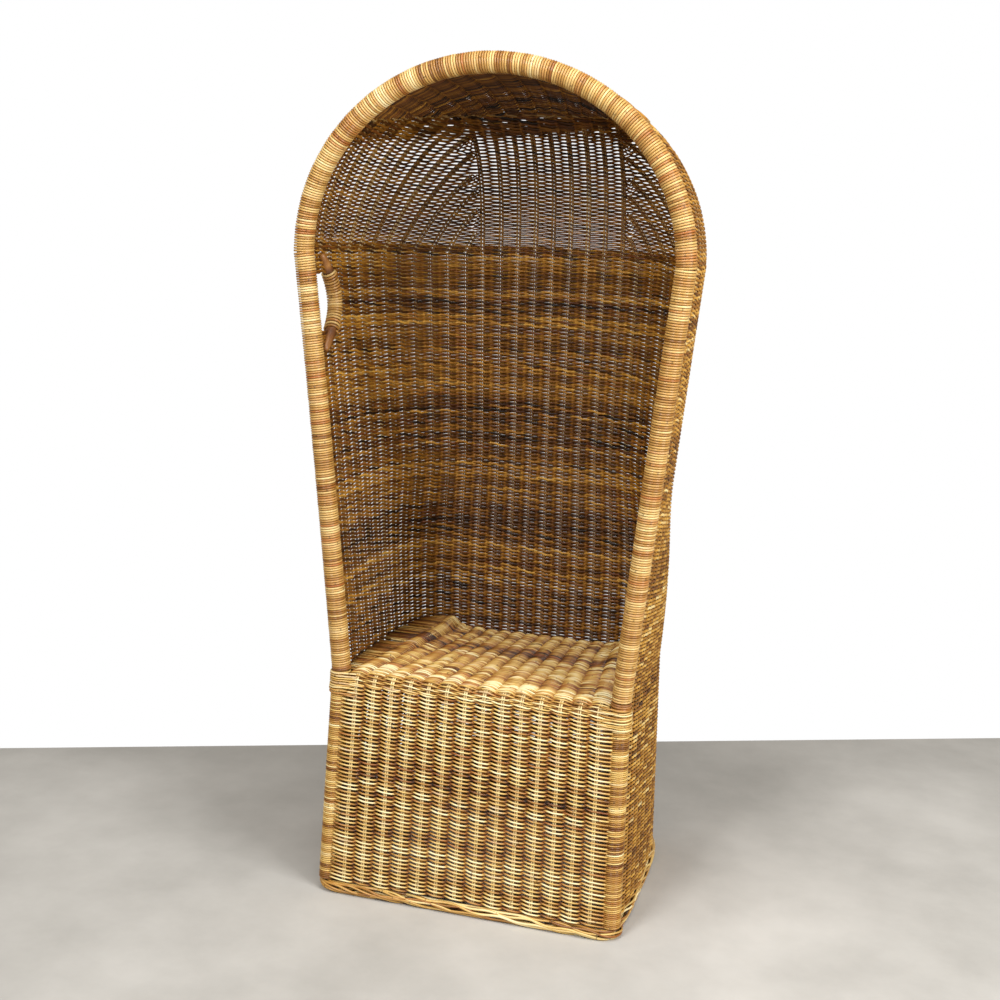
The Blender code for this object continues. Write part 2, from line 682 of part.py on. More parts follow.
def seat_side():
    """The seat's right edge: the skin's inner face at the seat, less the clearance."""
    row = skin_row(SEAT_HEIGHT)
    middle = len(row) // 2
    along = np.gradient(row[:, :2], axis=0)
    inward = unit(np.stack([-along[:, 1], along[:, 0]], axis=-1)) * -1
    edge = row[:, :2] + inward * (SKIN / 2 + 3 * CLEARANCE)
    right = edge[middle:][::-1]
    return right[:, 1], right[:, 0]


def make_seat():
    """One woven sheet from the back over the front rail, level along its sides and lower in its middle."""
    side_y, side_x = seat_side()
    rail_y = rail_ends(SEAT_RAIL_HEIGHT, SEAT_RAIL_RADIUS)[0].y
    step_y = LASHING_OUTER_RADIUS + CLEARANCE
    depths = [*side_y[-2:2:-1], side_y[1], step_y + 2 * CLEARANCE, step_y - CLEARANCE]
    columns = np.array(SEAT_COLUMN_SHARES)
    rear_y = rear_leg_point(SEAT_RAIL_HEIGHT).y
    front_half, rear_half = seat_half_width(depths[-3]), seat_half_width(rear_y)
    shape_rows = []
    for y in depths:
        x = columns * seat_half_width(y)
        strip = front_half + (rear_half - front_half) * y / rear_y - EDGE_STRIP
        raised = np.clip((np.abs(x) - strip) / EDGE_SLOPE + 1, 0, 1)
        top = SEAT_HEIGHT - SEAT_FALL * y / SEAT_DEPTH * (1 - raised)
        row = np.stack([x, np.full(len(x), y), top - SKIN / 2], axis=-1)
        shape_rows.append((row, np.array([0.0, 0.0, 1.0])))
    roll = SEAT_RAIL_RADIUS + CLEARANCE + SKIN / 2
    half = seat_half_width(0)
    for angle in np.linspace(0, math.pi / 2, 6):
        out = np.array([0.0, -math.sin(angle), math.cos(angle)])
        row = np.stack([columns * half, np.zeros(len(columns)), np.zeros(len(columns))], axis=-1)
        row += np.array([0.0, rail_y, SEAT_RAIL_HEIGHT]) + out * roll
        shape_rows.append((row, out))
    middle = np.stack([row for row, _ in shape_rows])
    normals = np.stack([np.broadcast_to(out, row.shape) for row, out in shape_rows])
    place("seat_weave", mesh_of("seat_weave", skin_shape(middle, normals)), (0.72, 0.49, 0.22))


def make_base_front():
    """The woven panel from the seat's roll down to the border, with a rib at each stake.

    Its edges are hollowed to fit the leg wraps.
    """
    grid = []
    half_bays = np.arange(1 - FRONT_BAYS, FRONT_BAYS)
    for z in (BORDER_TOP, SEAT_RAIL_HEIGHT - CLEARANCE):
        half = side_line(z) - LEG_WRAP_RADIUS * FRONT_EDGE_SHARE
        y = front_line(z) - LEG_WRAP_RADIUS + SKIN / 2
        grid.append([(x, y, z) for x in (-half, *half_bays * side_line(z) / FRONT_BAYS, half)])
    grid = np.array(grid)
    outward = np.broadcast_to((0.0, -1.0, 0.0), grid.shape)
    between_stakes = half_bays % 2 == 0
    thickness = ribbed([False, *between_stakes, False])
    shape = skin_shape(grid, outward, thickness)
    piece = place("base_front_weave", mesh_of("base_front_weave", shape), (0.66, 0.42, 0.18))
    foot, top = leg_point(0), leg_point(SEAT_HEIGHT)
    for side, turned in (("left", Vector), ("right", mirrored)):
        name = f"front_edge_{side}"
        cutter = rod_mesh(name, turned(foot), turned(top), LEG_WRAP_RADIUS + CLEARANCE, 32)
        cut(piece, place(name, cutter))


def border_line():
    """The closed line round the foot: the skin's middle, closed by a straight front with round corners."""
    row = skin_row(BORDER_TOP)[:, :2]
    front_y = float(front_line(0)) - LEG_WRAP_RADIUS + SKIN / 2
    side_x = float(side_line(0)) + SIDE_BULGE
    corner = []
    for angle in np.linspace(0, math.pi / 2, 6):
        x = side_x - BORDER_CORNER * (1 - math.cos(angle))
        y = front_y + BORDER_CORNER * (1 - math.sin(angle))
        corner.append((x, y))
    behind = row[row[:, 1] > front_y + BORDER_CORNER + BORDER_SIZE]
    left = [(-x, y) for x, y in reversed(corner)]
    return np.array([*left, *behind, *corner])


def make_border():
    """The plaited border as a plain ring, flat below where the chair stands on it."""
    line = border_line()
    along = unit(np.roll(line, -1, axis=0) - np.roll(line, 1, axis=0))
    out = np.stack([-along[:, 1], along[:, 0]], axis=-1)
    radius = BORDER_SIZE / 2 / math.cos(math.pi / 8)
    shape = bmesh.new()
    rings = []
    for centre, away in zip(line, out):
        ring = []
        for step in range(8):
            angle = (step + 0.5) * math.pi / 4
            x, y = centre + away * radius * math.cos(angle)
            ring.append(shape.verts.new((x, y, BORDER_SIZE / 2 + radius * math.sin(angle))))
        rings.append(ring)
    bridge(shape, [*rings, rings[0]])
    place("foot_border", mesh_of("foot_border", shape), (0.62, 0.39, 0.17), 0.5)


clear_scene()
border = border_line()[:, 1]
CHAIR = bpy.data.objects.new("chair", None)
CHAIR.location.y = -(border.min() + border.max()) / 2
bpy.context.scene.collection.objects.link(CHAIR)

make_arch_pole()
make_rear_legs()
rail_cutters = make_rails("seat", SEAT_RAIL_HEIGHT, SEAT_RAIL_RADIUS, rear_rail_height())
rail_cutters += make_rails("foot", FOOT_RAIL_HEIGHT, FOOT_RAIL_RADIUS, FOOT_RAIL_HEIGHT)
make_bearers()
make_arch_wrap()
make_leg_wraps(rail_cutters)
make_lashings()
make_handle_rod()
make_handle_winding()
make_shell()
make_hood()
make_seat()
make_base_front()
make_border()
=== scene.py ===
"""A hooded porters chair woven from rattan, on a pale floor before a white wall.

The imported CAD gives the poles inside. Every wound and woven surface is drawn here strand by strand, in
metres, from the same lines as the CAD: each row of weave is two strands that twist round upright stakes.
"""

import math

import bpy
import numpy as np
from mathutils import Matrix


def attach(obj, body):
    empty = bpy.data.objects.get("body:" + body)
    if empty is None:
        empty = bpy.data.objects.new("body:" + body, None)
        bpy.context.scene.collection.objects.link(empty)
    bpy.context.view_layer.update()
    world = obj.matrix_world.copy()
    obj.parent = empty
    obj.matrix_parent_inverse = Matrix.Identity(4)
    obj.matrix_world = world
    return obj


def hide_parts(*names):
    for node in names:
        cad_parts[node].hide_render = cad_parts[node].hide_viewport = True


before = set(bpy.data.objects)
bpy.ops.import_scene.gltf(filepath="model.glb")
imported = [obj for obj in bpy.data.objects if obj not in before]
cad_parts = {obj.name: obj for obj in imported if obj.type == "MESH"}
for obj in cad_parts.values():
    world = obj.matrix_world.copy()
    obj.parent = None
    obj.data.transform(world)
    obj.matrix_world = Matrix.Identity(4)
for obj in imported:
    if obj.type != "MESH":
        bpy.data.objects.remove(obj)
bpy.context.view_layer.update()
rng = np.random.default_rng(11)

# Poles of the frame
#
# Peeled rattan poles, straight or bent with steam, nailed where they meet. They are the CAD's own solids:
# the front arch, the rear legs, the rails and the seat's bearers, all nearly hidden by the weave.


def colour(code):
    """The linear RGBA of an sRGB hex code."""
    parts = np.array([int(code[i : i + 2], 16) for i in (1, 3, 5)]) / 255
    linear = np.where(parts <= 0.04045, parts / 12.92, ((parts + 0.055) / 1.055) ** 2.4)
    return (*linear, 1.0)


def node(tree, kind, settings=None, links=None):
    """Adds a shader node of that kind, such as Bump, with its settings and links.

    A setting is an attribute, an input by name or index, or a colour ramp's stops as (place, hex code).
    """
    made = tree.nodes.new("ShaderNode" + kind)
    for key, value in (settings or {}).items():
        if key == "stops":
            elements = made.color_ramp.elements
            while len(elements) < len(value):
                elements.new(0.5)
            for element, (place, code) in zip(elements, value):
                element.position = place
                element.color = colour(code)
        elif isinstance(key, str) and hasattr(made, key):
            setattr(made, key, value)
        else:
            made.inputs[key].default_value = value
    for key, source in (links or {}).items():
        tree.links.new(source, made.inputs[key])
    return made


def new_material(name):
    """A new node material, its tree and its shader."""
    material = bpy.data.materials.new(name)
    material.use_nodes = True
    return material, material.node_tree, material.node_tree.nodes["Principled BSDF"]


def pole_material():
    """Peeled rattan pole: pale and brown streaks 11 mm apart, in patches 14 cm wide, with a satin sheen."""
    material, tree, shader = new_material("peeled_rattan_pole")
    place = node(tree, "TexCoord").outputs["Object"]
    streaks = node(tree, "TexNoise", {"Scale": 90.0, "Detail": 4.0}, {"Vector": place}).outputs[0]
    patches = node(tree, "TexNoise", {"Scale": 7.0, "Detail": 3.0}, {"Vector": place}).outputs[0]
    both = node(tree, "Math", {"operation": "ADD"}, {0: streaks, 1: patches}).outputs[0]
    half = node(tree, "Math", {"operation": "MULTIPLY", 1: 0.5}, {0: both}).outputs[0]
    stops = ((0.3, "#5b3a1c"), (0.5, "#9a6a35"), (0.7, "#c2934f"))
    shade = node(tree, "ValToRGB", {"stops": stops}, {0: half})
    rough = node(tree, "MapRange", {"To Min": 0.35, "To Max": 0.6}, {"Value": streaks})
    bump = node(tree, "Bump", {"Strength": 0.5, "Distance": 0.0004}, {"Height": streaks})
    for socket, source in (("Base Color", shade), ("Roughness", rough), ("Normal", bump)):
        tree.links.new(source.outputs[0], shader.inputs[socket])
    return material


pole = pole_material()
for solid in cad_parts.values():
    for holder in solid.material_slots:
        holder.material = pole

# Winding of the front arch
#
# One cane, nearly half a centimetre wide, wound edge to edge round the arch pole in about 570 turns, from the
# lashing at the seat on one side over the top to the other. Each turn has its own shade, from straw to
# orange brown.

SEAT_HEIGHT, SPRING_HEIGHT, ARCH_TOP = 0.450, 1.252, 1.590
SEAT_HALF, HOOD_HALF, FOOT_HALF = 0.280, 0.356, 0.290  # from the chair's middle to the arch pole
ARCH_FORWARD, FOOT_FORWARD = 0.034, 0.033  # how far the arch's top and its feet lean forward
SEAT_DEPTH, HOOD_DEPTH = 0.4625, 0.425
SIDE_BOW_SHARE = -0.095
CENTRE_DEPTH = 0.208  # from the arch pole's line at the seat back to the middle of the chair
RIM_RADIUS, RIM_START = 0.0195, 0.458
RIM_CANE, RIM_PITCH = 0.0021, 0.0046
ROUTE_STEP, TURN_STEPS = 0.004, 14


def side_line(z):
    """Half width of the arch pole's line at height z: two straight runs, the upper one a little bowed in."""
    z = np.asarray(z, float)
    up = np.clip((z - SEAT_HEIGHT) / (SPRING_HEIGHT - SEAT_HEIGHT), 0, 1)
    above = SEAT_HALF + (HOOD_HALF - SEAT_HALF) * (up + SIDE_BOW_SHARE * up * (1 - up))
    below = SEAT_HALF + (FOOT_HALF - SEAT_HALF) * (SEAT_HEIGHT - z) / SEAT_HEIGHT
    return np.where(z < SEAT_HEIGHT, below, above)


def front_line(z):
    """How far back the arch pole's line stands at height z: it leans forward above and below the seat."""
    z = np.asarray(z, float)
    above = -ARCH_FORWARD * (z - SEAT_HEIGHT) / (ARCH_TOP - SEAT_HEIGHT)
    below = -FOOT_FORWARD * (SEAT_HEIGHT - z) / SEAT_HEIGHT
    return np.where(z < SEAT_HEIGHT, below, above)


def back_line(z):
    """How far back the middle of the woven back stands at height z."""
    up = np.clip((np.asarray(z, float) - SEAT_HEIGHT) / (SPRING_HEIGHT - SEAT_HEIGHT), 0, 1)
    return SEAT_DEPTH + (HOOD_DEPTH - SEAT_DEPTH) * up


def full_depth(z):
    """How far the middle of the woven back stands behind the arch pole's line at height z."""
    return back_line(z) - front_line(z)


def unit(vectors):
    """The vectors divided by their lengths."""
    return vectors / np.maximum(np.linalg.norm(vectors, axis=-1, keepdims=True), 1e-12)


def ahead_at(points, closed=False):
    """Directions along the line of points: from the one before each to the one after it."""
    if closed:
        return unit(np.roll(points, -1, axis=0) - np.roll(points, 1, axis=0))
    return unit(np.gradient(points, axis=0))


def lengths(points):
    """Distance along the line of points up to each of them."""
    steps = np.linalg.norm(np.diff(points, axis=0), axis=1)
    return np.concatenate([[0], np.cumsum(steps)])


def pick(values, at, where):
    """Each column of values, interpolated at the places where, with at the place of each row."""
    return np.stack([np.interp(where, at, values[:, i]) for i in range(values.shape[1])], axis=-1)


def arch_route(low, step):
    """The arch pole's line in equal steps: up the left side, over the hood in half an ellipse, and down."""
    z = np.linspace(low, SPRING_HEIGHT, 200)
    angle = np.linspace(math.pi, 0, 400)
    x = np.concatenate([-side_line(z), HOOD_HALF * np.cos(angle), side_line(z[::-1])])
    arc_z = SPRING_HEIGHT + (ARCH_TOP - SPRING_HEIGHT) * np.sin(angle)
    height = np.concatenate([z, arc_z, z[::-1]])
    points = np.stack([x, front_line(height), height], axis=-1)
    along = lengths(points)
    return pick(points, along, np.linspace(0, along[-1], int(along[-1] / step)))


def wander(count, reach, spread):
    """Seeded values that drift between -spread and spread, with a new one every reach of the count points."""
    knots = rng.uniform(-spread, spread, int(count / reach) + 3)
    return np.interp(np.linspace(0, len(knots) - 1, count), np.arange(len(knots)), knots)


def coil(route, radius, turns, steps):
    """(points, outward) of a helix of that radius and number of turns round the route."""
    count = int(turns * steps) + 1
    share = np.linspace(0, len(route) - 1, count)
    middle = pick(route, np.arange(len(route)), share)
    along = ahead_at(middle)
    first = unit(np.cross(along, (0.0, 1.0, 0.0)) + 1e-9)
    second = np.cross(along, first)
    turn = np.linspace(0, turns * 2 * math.pi, count)[:, None]
    outward = first * np.cos(turn) + second * np.sin(turn)
    return middle + outward * radius, outward


def sweep(points, normals, size, sides, tone, closed=False):
    """(vertices, tones, lays, loops, face sizes) of a strand along the points.

    Each ring is an ellipse: size holds its half thickness along the normal and its half width across it.
    The lay of a vertex is how far along the strand it is and where in the strand's section, in metres.
    """
    along = ahead_at(points, closed)
    out = unit(normals - (normals * along).sum(-1, keepdims=True) * along)
    across = np.cross(along, out)
    turn = np.arange(sides) * 2 * math.pi / sides
    thick = np.broadcast_to(size[0], len(points))[:, None] * np.cos(turn)
    wide = np.broadcast_to(size[1], len(points))[:, None] * np.sin(turn)
    rings = points[:, None] + out[:, None] * thick[..., None] + across[:, None] * wide[..., None]
    start = rng.uniform(0, 50)
    far = np.broadcast_to(lengths(points)[:, None] + start, thick.shape)
    lays = np.stack([far, thick + start, wide], axis=-1)
    count = len(points)
    lower = np.arange(count if closed else count - 1)[:, None] * sides + np.arange(sides)
    next_lower = lower - np.arange(sides) + np.roll(np.arange(sides), -1)
    upper = (lower + sides) % (count * sides)
    next_upper = (next_lower + sides) % (count * sides)
    quads = np.stack([lower, next_lower, next_upper, upper], axis=-1).reshape(-1)
    sizes = np.full(len(quads) // 4, 4)
    if not closed:
        caps = np.concatenate([np.arange(sides)[::-1], (count - 1) * sides + np.arange(sides)])
        quads = np.concatenate([quads, caps])
        sizes = np.concatenate([sizes, [sides, sides]])
    tones = np.broadcast_to(np.broadcast_to(tone, count)[:, None], thick.shape)
    return rings.reshape(-1, 3), tones.reshape(-1), lays.reshape(-1, 3), quads, sizes


def add_object(name, data):
    """A new object of that mesh, lamp or camera in the scene."""
    made = bpy.data.objects.new(name, data)
    bpy.context.scene.collection.objects.link(made)
    return made


def strands(name, swept, material, slot, *stands_for):
    """One object of many swept strands, which rides on the chair and stands for those CAD nodes."""
    vertices, tones, lays, loops, sizes = zip(*swept)
    first = np.concatenate([[0], np.cumsum([len(v) for v in vertices])[:-1]])
    loops = np.concatenate([loop + start for loop, start in zip(loops, first)])
    sizes = np.concatenate(sizes)
    starts = np.concatenate([[0], np.cumsum(sizes)[:-1]])
    vertices = np.concatenate(vertices) - (0, CENTRE_DEPTH, 0)
    mesh = bpy.data.meshes.new(name)
    mesh.vertices.add(len(vertices))
    mesh.vertices.foreach_set("co", vertices.astype(np.float32).ravel())
    mesh.loops.add(len(loops))
    mesh.loops.foreach_set("vertex_index", loops.astype(np.int32))
    mesh.polygons.add(len(sizes))
    mesh.polygons.foreach_set("loop_start", starts.astype(np.int32))
    mesh.update(calc_edges=True)
    mesh.polygons.foreach_set("use_smooth", sizes == 4)
    tone = mesh.attributes.new("tone", "FLOAT", "POINT")
    tone.data.foreach_set("value", np.concatenate(tones).astype(np.float32))
    lay = mesh.attributes.new("lay", "FLOAT_VECTOR", "POINT")
    lay.data.foreach_set("vector", np.concatenate(lays).astype(np.float32).ravel())
    mesh.materials.append(material)
    piece = add_object(name, mesh)
    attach(piece, "root")
    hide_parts(*stands_for)


def cane_material(name, stops, rust="#9c5420", rust_share=0.35, rough=(0.34, 0.6), gloss=0.5):
    """Rattan cane: a shade for each strand, fine fibres along it, rusty patches, dark joints, a waxy shine.

    A fibre is 20 mm long and 0.5 mm wide, a mottle 70 by 11 mm, and a rusty patch 200 by 33 mm. A joint of
    the plant is a dark band 4 mm long, every 0.31 m.
    """
    material, tree, shader = new_material(name)
    lay = node(tree, "Attribute", {"attribute_name": "lay"}).outputs["Vector"]
    tone = node(tree, "Attribute", {"attribute_name": "tone"}).outputs["Fac"]
    noises = []
    for scale, start, detail in (
        ((50, 2000, 2000), (0, 0, 0), 3),
        ((14, 90, 90), (0, 0, 0), 2),
        ((5, 30, 30), (7, 3, 5), 3),
    ):
        spread = node(tree, "Mapping", {"Scale": scale, "Location": start}, {0: lay}).outputs[0]
        noises.append(node(tree, "TexNoise", {"Scale": 1.0, "Detail": detail}, {0: spread}).outputs[0])
    fibre, mottle, patch = noises
    shade = tone
    for noise, depth in ((fibre, 0.3), (mottle, 0.5)):
        centre = {"operation": "MULTIPLY_ADD", 1: depth, 2: -depth / 2}
        centred = node(tree, "Math", centre, {0: noise}).outputs[0]
        shade = node(tree, "Math", {"operation": "ADD"}, {0: shade, 1: centred}).outputs[0]
    plain = node(tree, "ValToRGB", {"stops": stops}, {0: shade}).outputs[0]
    spots = {"From Min": 0.53, "From Max": 0.68, "To Max": rust_share}
    rusty = node(tree, "MapRange", spots, {"Value": patch}).outputs[0]
    warm = node(tree, "Mix", {"data_type": "RGBA", 7: colour(rust)}, {0: rusty, 6: plain}).outputs[2]
    far = node(tree, "SeparateXYZ", links={0: lay}).outputs[0]
    cycle = node(tree, "Math", {"operation": "WRAP", 1: 0.31, 2: 0.0}, {0: far}).outputs[0]
    band = {"From Min": 0.001, "From Max": 0.004, "To Min": 0.45}
    clear = node(tree, "MapRange", band, {"Value": cycle}).outputs[0]
    jointed = node(tree, "Mix", {"data_type": "RGBA", 6: colour("#2a170a")}, {0: clear, 7: warm}).outputs[2]
    worn = node(tree, "MapRange", {"To Min": rough[0], "To Max": rough[1]}, {"Value": mottle}).outputs[0]
    bump = node(tree, "Bump", {"Strength": 0.35, "Distance": 0.0003}, {"Height": fibre}).outputs[0]
    for socket, source in (("Base Color", jointed), ("Roughness", worn), ("Normal", bump)):
        tree.links.new(source, shader.inputs[socket])
    shader.inputs["Specular IOR Level"].default_value = gloss
    return material


# Wound cane: straw to orange brown, brighter and glossier than the weave.
wound_stops = ((0.0, "#532e12"), (0.25, "#95652c"), (0.5, "#c19753"), (0.75, "#dabb7c"), (1.0, "#eedfb2"))
wound_cane = cane_material("wound_cane", wound_stops, "#a8602a", 0.7, (0.26, 0.45))
rim_line = arch_route(RIM_START, ROUTE_STEP)
rim_turns = round(lengths(rim_line)[-1] / RIM_PITCH)
rim_points, rim_out = coil(rim_line, RIM_RADIUS - RIM_CANE, rim_turns, TURN_STEPS)
rim_points = rim_points + rim_out * wander(len(rim_points), 30, 0.0003)[:, None]
rim_tone = 0.49 + wander(len(rim_points), 12, 0.28) + wander(len(rim_points), 90, 0.12)
rim = [sweep(rim_points, rim_out, (RIM_CANE, RIM_CANE), 6, rim_tone)]
strands("rim_winding", rim, wound_cane, "wound_cane", "arch_wrap")

# Handle
#
# A bent rod of dark rattan with its bark on, let into the left wall behind the rim and cut off at a slant at
# both ends. Its middle is wound with the same cane as the rim.

HANDLE_TOP, HANDLE_LENGTH, HANDLE_INSET = 1.248, 0.182, 0.004
HANDLE_TIP_BACK, HANDLE_REACH = 0.0845, 0.045
HANDLE_BACK_SHARES = (0, 0.665, 0.99, 1, 0.425, -0.49)  # of the reach, at even steps down the rod
HANDLE_ROD, HANDLE_TIP, TIP_SHARE = 0.0112, 0.0030, 0.17  # radii, and each tip's share of the length
WOUND_SHARES, HANDLE_TURNS = (0.185, 0.815), 20
WOUND_RADIUS, WOUND_THICK, WOUND_HALF = HANDLE_ROD + 0.0020, 0.0022, 0.0024
SIDE_BULGE, BULGE_RISE_SHARE = 0.010, 0.25
SEAT_SQUARENESS, HOOD_SQUARENESS, ROUNDING_HEIGHT = 6.8, 3.0, 0.40


def squareness(z):
    """The power of the plan's curve at height z, which falls smoothly where the corners grow rounder."""
    up = np.clip((np.asarray(z, float) - SEAT_HEIGHT) / ROUNDING_HEIGHT, 0, 1)
    return SEAT_SQUARENESS + (HOOD_SQUARENESS - SEAT_SQUARENESS) * up * up * (3 - 2 * up)


def bulge(deep):
    """How far the sides stand out at this share of the depth: a quarter of a sine wave, then even."""
    return SIDE_BULGE * np.sin(np.minimum(deep / BULGE_RISE_SHARE, 1) * math.pi / 2)


def wide_at(deep, power=HOOD_SQUARENESS):
    """The share of the half width left at this share of the depth, on a curve of that power."""
    return np.maximum(1 - np.clip(deep, 0, 1) ** power, 0) ** (1 / power)


def skin_half_width(z, y):
    """Half width of the wall's middle at height z and depth y."""
    deep = (y - front_line(z)) / full_depth(z)
    return (side_line(z) + bulge(deep)) * wide_at(deep, squareness(z))


def smooth_route(points, steps):
    """A cubic B-spline drawn by the points, from the first to the last."""
    padded = np.concatenate([2 * points[:1] - points[1:2], points, 2 * points[-1:] - points[-2:-1]])
    t = np.linspace(0, 1, steps, endpoint=False)[:, None]
    parts = []
    for a, b, c, d in zip(padded, padded[1:], padded[2:], padded[3:]):
        weights = ((1 - t) ** 3, 3 * t**3 - 6 * t**2 + 4, 3 * (t + t**2 - t**3) + 1, t**3)
        parts.append(sum(weight * point for weight, point in zip(weights, (a, b, c, d))) / 6)
    return np.concatenate([*parts, points[-1:]])


handle_back = np.array(HANDLE_BACK_SHARES)
handle_z = np.linspace(HANDLE_TOP, HANDLE_TOP - HANDLE_LENGTH, len(handle_back))
handle_y = front_line(HANDLE_TOP) + HANDLE_TIP_BACK + HANDLE_REACH * handle_back
handle_x = HANDLE_INSET - skin_half_width(handle_z, handle_y)
handle_line = smooth_route(np.stack([handle_x, handle_y, handle_z], axis=-1), 16)
share = np.linspace(0, 1, len(handle_line))
from_tip = np.clip(np.minimum(share / TIP_SHARE, (1 - share) / TIP_SHARE), 0, 1)
rod_radius = HANDLE_TIP + (HANDLE_ROD - HANDLE_TIP) * from_tip**0.4 + wander(len(share), 6, 0.0004)
rod_out = np.broadcast_to((1.0, 0.0, 0.0), handle_line.shape)
# Bark: chestnut brown, which shines where hands have worn it.
bark_stops = ((0.0, "#331b0d"), (0.35, "#70441f"), (0.65, "#a06c35"), (1.0, "#d6b072"))
bark = cane_material("rattan_bark", bark_stops, "#84481f", rough=(0.3, 0.55))
cut_face = np.clip(0.06 - share, 0, 0.06) / 0.06  # the upper tip's slanted cut is pale
rod_tone = 0.45 + wander(len(share), 5, 0.25) + 0.4 * cut_face
rod = [sweep(handle_line, rod_out, (rod_radius, rod_radius), 16, rod_tone)]
strands("handle_rod_bark", rod, bark, "handle_rod", "handle_rod")
wound = handle_line[(share > WOUND_SHARES[0]) & (share < WOUND_SHARES[1])]
handle_points, handle_out = coil(wound, WOUND_RADIUS, HANDLE_TURNS, 16)
handle_tone = 0.42 + wander(len(handle_points), 15, 0.26) + wander(len(handle_points), 60, 0.14)
winding = [sweep(handle_points, handle_out, (WOUND_THICK, WOUND_HALF), 6, handle_tone)]
strands("handle_winding_cane", winding, wound_cane, "wound_cane", "handle_winding")

# Windings of the front legs and lashings
#
# Below the seat the arch pole is the front leg. Weaving strands from the panels go round it turn on turn, so
# that the base's corner is a smooth ribbed column. At the seat a turn and a half of bark hold the rim's end.

LEG_RADIUS, LEG_FOOT, LEG_TOP = 0.019, 0.024, 0.4475
LEG_CANE_THICK, LEG_CANE_HALF, LEG_TURNS = 0.0019, 0.0016, 111
LASHING_FOOT, LASHING_TOP, LASHING_TURNS = 0.4500, 0.4560, 1.5
LASHING_RADIUS, LASHING_CANE = 0.0172, 0.0023
SIDES = (("left", -1), ("right", 1))
# Front cane: sun-bleached straw on the outer face, with a soft varnish. Its brown where a strand turns in is
# painted shade, set by the weave's tone.
weave_stops = ((0.0, "#2c180a"), (0.25, "#704217"), (0.5, "#b07f38"), (0.75, "#d9b567"), (1.0, "#f1e0ac"))
front_cane = cane_material("front_weaving_cane", weave_stops, "#a05a22", 0.6, (0.26, 0.5))


def leg_line(sign, low, high, count):
    """The arch pole's line on one side, between two heights."""
    z = np.linspace(low, high, count)
    return np.stack([sign * side_line(z), front_line(z), z], axis=-1)


for side, sign in SIDES:
    leg = leg_line(sign, LEG_FOOT, LEG_TOP, 80)
    points, out = coil(leg, LEG_RADIUS - LEG_CANE_THICK, LEG_TURNS, TURN_STEPS)
    tone = 0.56 + wander(len(points), 14, 0.34) + wander(len(points), 90, 0.12)
    turns = [sweep(points, out, (LEG_CANE_THICK, LEG_CANE_HALF), 6, tone)]
    strands(f"leg_winding_{side}", turns, front_cane, "leg_wrap", f"leg_wrap_{side}")
    ring = leg_line(sign, LASHING_FOOT, LASHING_TOP, 20)
    points, out = coil(ring, LASHING_RADIUS, LASHING_TURNS, 20)
    lashing = [sweep(points, out, (LASHING_CANE, LASHING_CANE), 8, 0.55 + wander(len(points), 8, 0.15))]
    strands(f"lashing_bark_{side}", lashing, bark, "lashing", f"arch_lashing_{side}")

# Weave of the walls
#
# Pairs of thin stakes stand 36 to 40 mm apart all round the sides and the back. Two strands are twisted round
# each pair in every row, one before it and one behind, so that the rows are 7.6 mm high. Behind the rim, the
# left wall has a hand hole, whose rear edge is the handle.

ROW_HEIGHT, WALL_BAYS = 0.0076, 36
WEAVE_REACH = 0.0034  # from the wall's middle to a strand's centre where it crosses a stake
STRAND_THICK, STRAND_HALF = 0.0018, 0.0022
TWIST_FRACTIONS = (-0.36, -0.14, 0.14, 0.36)  # of a bay, from each stake to the strands' points beside it
ROW_WAVER = 0.0013
BORDER_TOP = 0.0233
RIM_COVER = 0.002  # how far a row's end runs in under the rim's winding
INSIDE_SHADE_AND_AGE = 0.29  # how much lower the tone is inside the wall: painted shade of the dark hollow, and partly cane the sun never bleached
HOLE_SHARES = (0.2, 0.8)  # of the handle's rod: the part that lies along the hole
HOLE_EDGE, STAKE_EDGE = 0.006, 0.004  # how far behind the handle's line strands and stakes begin
WALL_PIECES = 5  # the rows go into as many objects
UP = (0.0, 0.0, 1.0)
SHELL_NODES = ("shell_side_left", "shell_side_right", "shell_back")
# Wall cane: umber to honey, as unvarnished cane grows dark with age, and duller than the winding.
wall_stops = ((0.0, "#1c0e04"), (0.25, "#5a330b"), (0.5, "#9a661c"), (0.75, "#d4a144"), (1.0, "#efd796"))
wall_cane = cane_material("wall_weaving_cane", wall_stops, "#7d421a", 0.5, gloss=0.35)
# Stake cane: thin peeled shoots, paler and greyer than the strands.
stake_stops = ((0.0, "#4a3014"), (0.5, "#98733a"), (1.0, "#e6d09a"))
stake_cane = cane_material("stake_cane", stake_stops, "#8c5a2c", 0.3)


def drift(x, z):
    """A slow, fixed rise and fall of the rows, alike in neighbouring rows: five crossed sine waves."""
    waves = ((11, 5, 0.4), (23, 9, 2.1), (31, 17, 4.0), (47, 13, 5.2), (71, 29, 1.3))
    total = sum(np.sin(a * x + b * z + c) / (i + 1) for i, (a, b, c) in enumerate(waves))
    return ROW_WAVER * total


def mirrored(half):
    """A line of points on to the middle, and then back along its mirror image on the other side."""
    return np.concatenate([half, half[-2::-1] * (-1, 1, 1)])


def wall_row(z, first):
    """(points, distances) of the wall's middle at height z, round from the left rim to the right rim.

    It starts at the first share of the depth. Its points are spaced by depth up to the corner, then by width.
    """
    power = squareness(z)
    corner = 2 ** (-1 / power)
    deep_side = np.linspace(first, corner, 60)
    wide_back = np.linspace(corner, 0, 60)[1:]
    deep = np.concatenate([deep_side, wide_at(wide_back, power)])
    wide = np.concatenate([wide_at(deep_side, power), wide_back])
    x = (side_line(z) + bulge(deep)) * wide
    y = front_line(z) + full_depth(z) * deep
    points = mirrored(np.stack([-x, y, np.full(len(x), z)], axis=-1))
    return points, lengths(points)


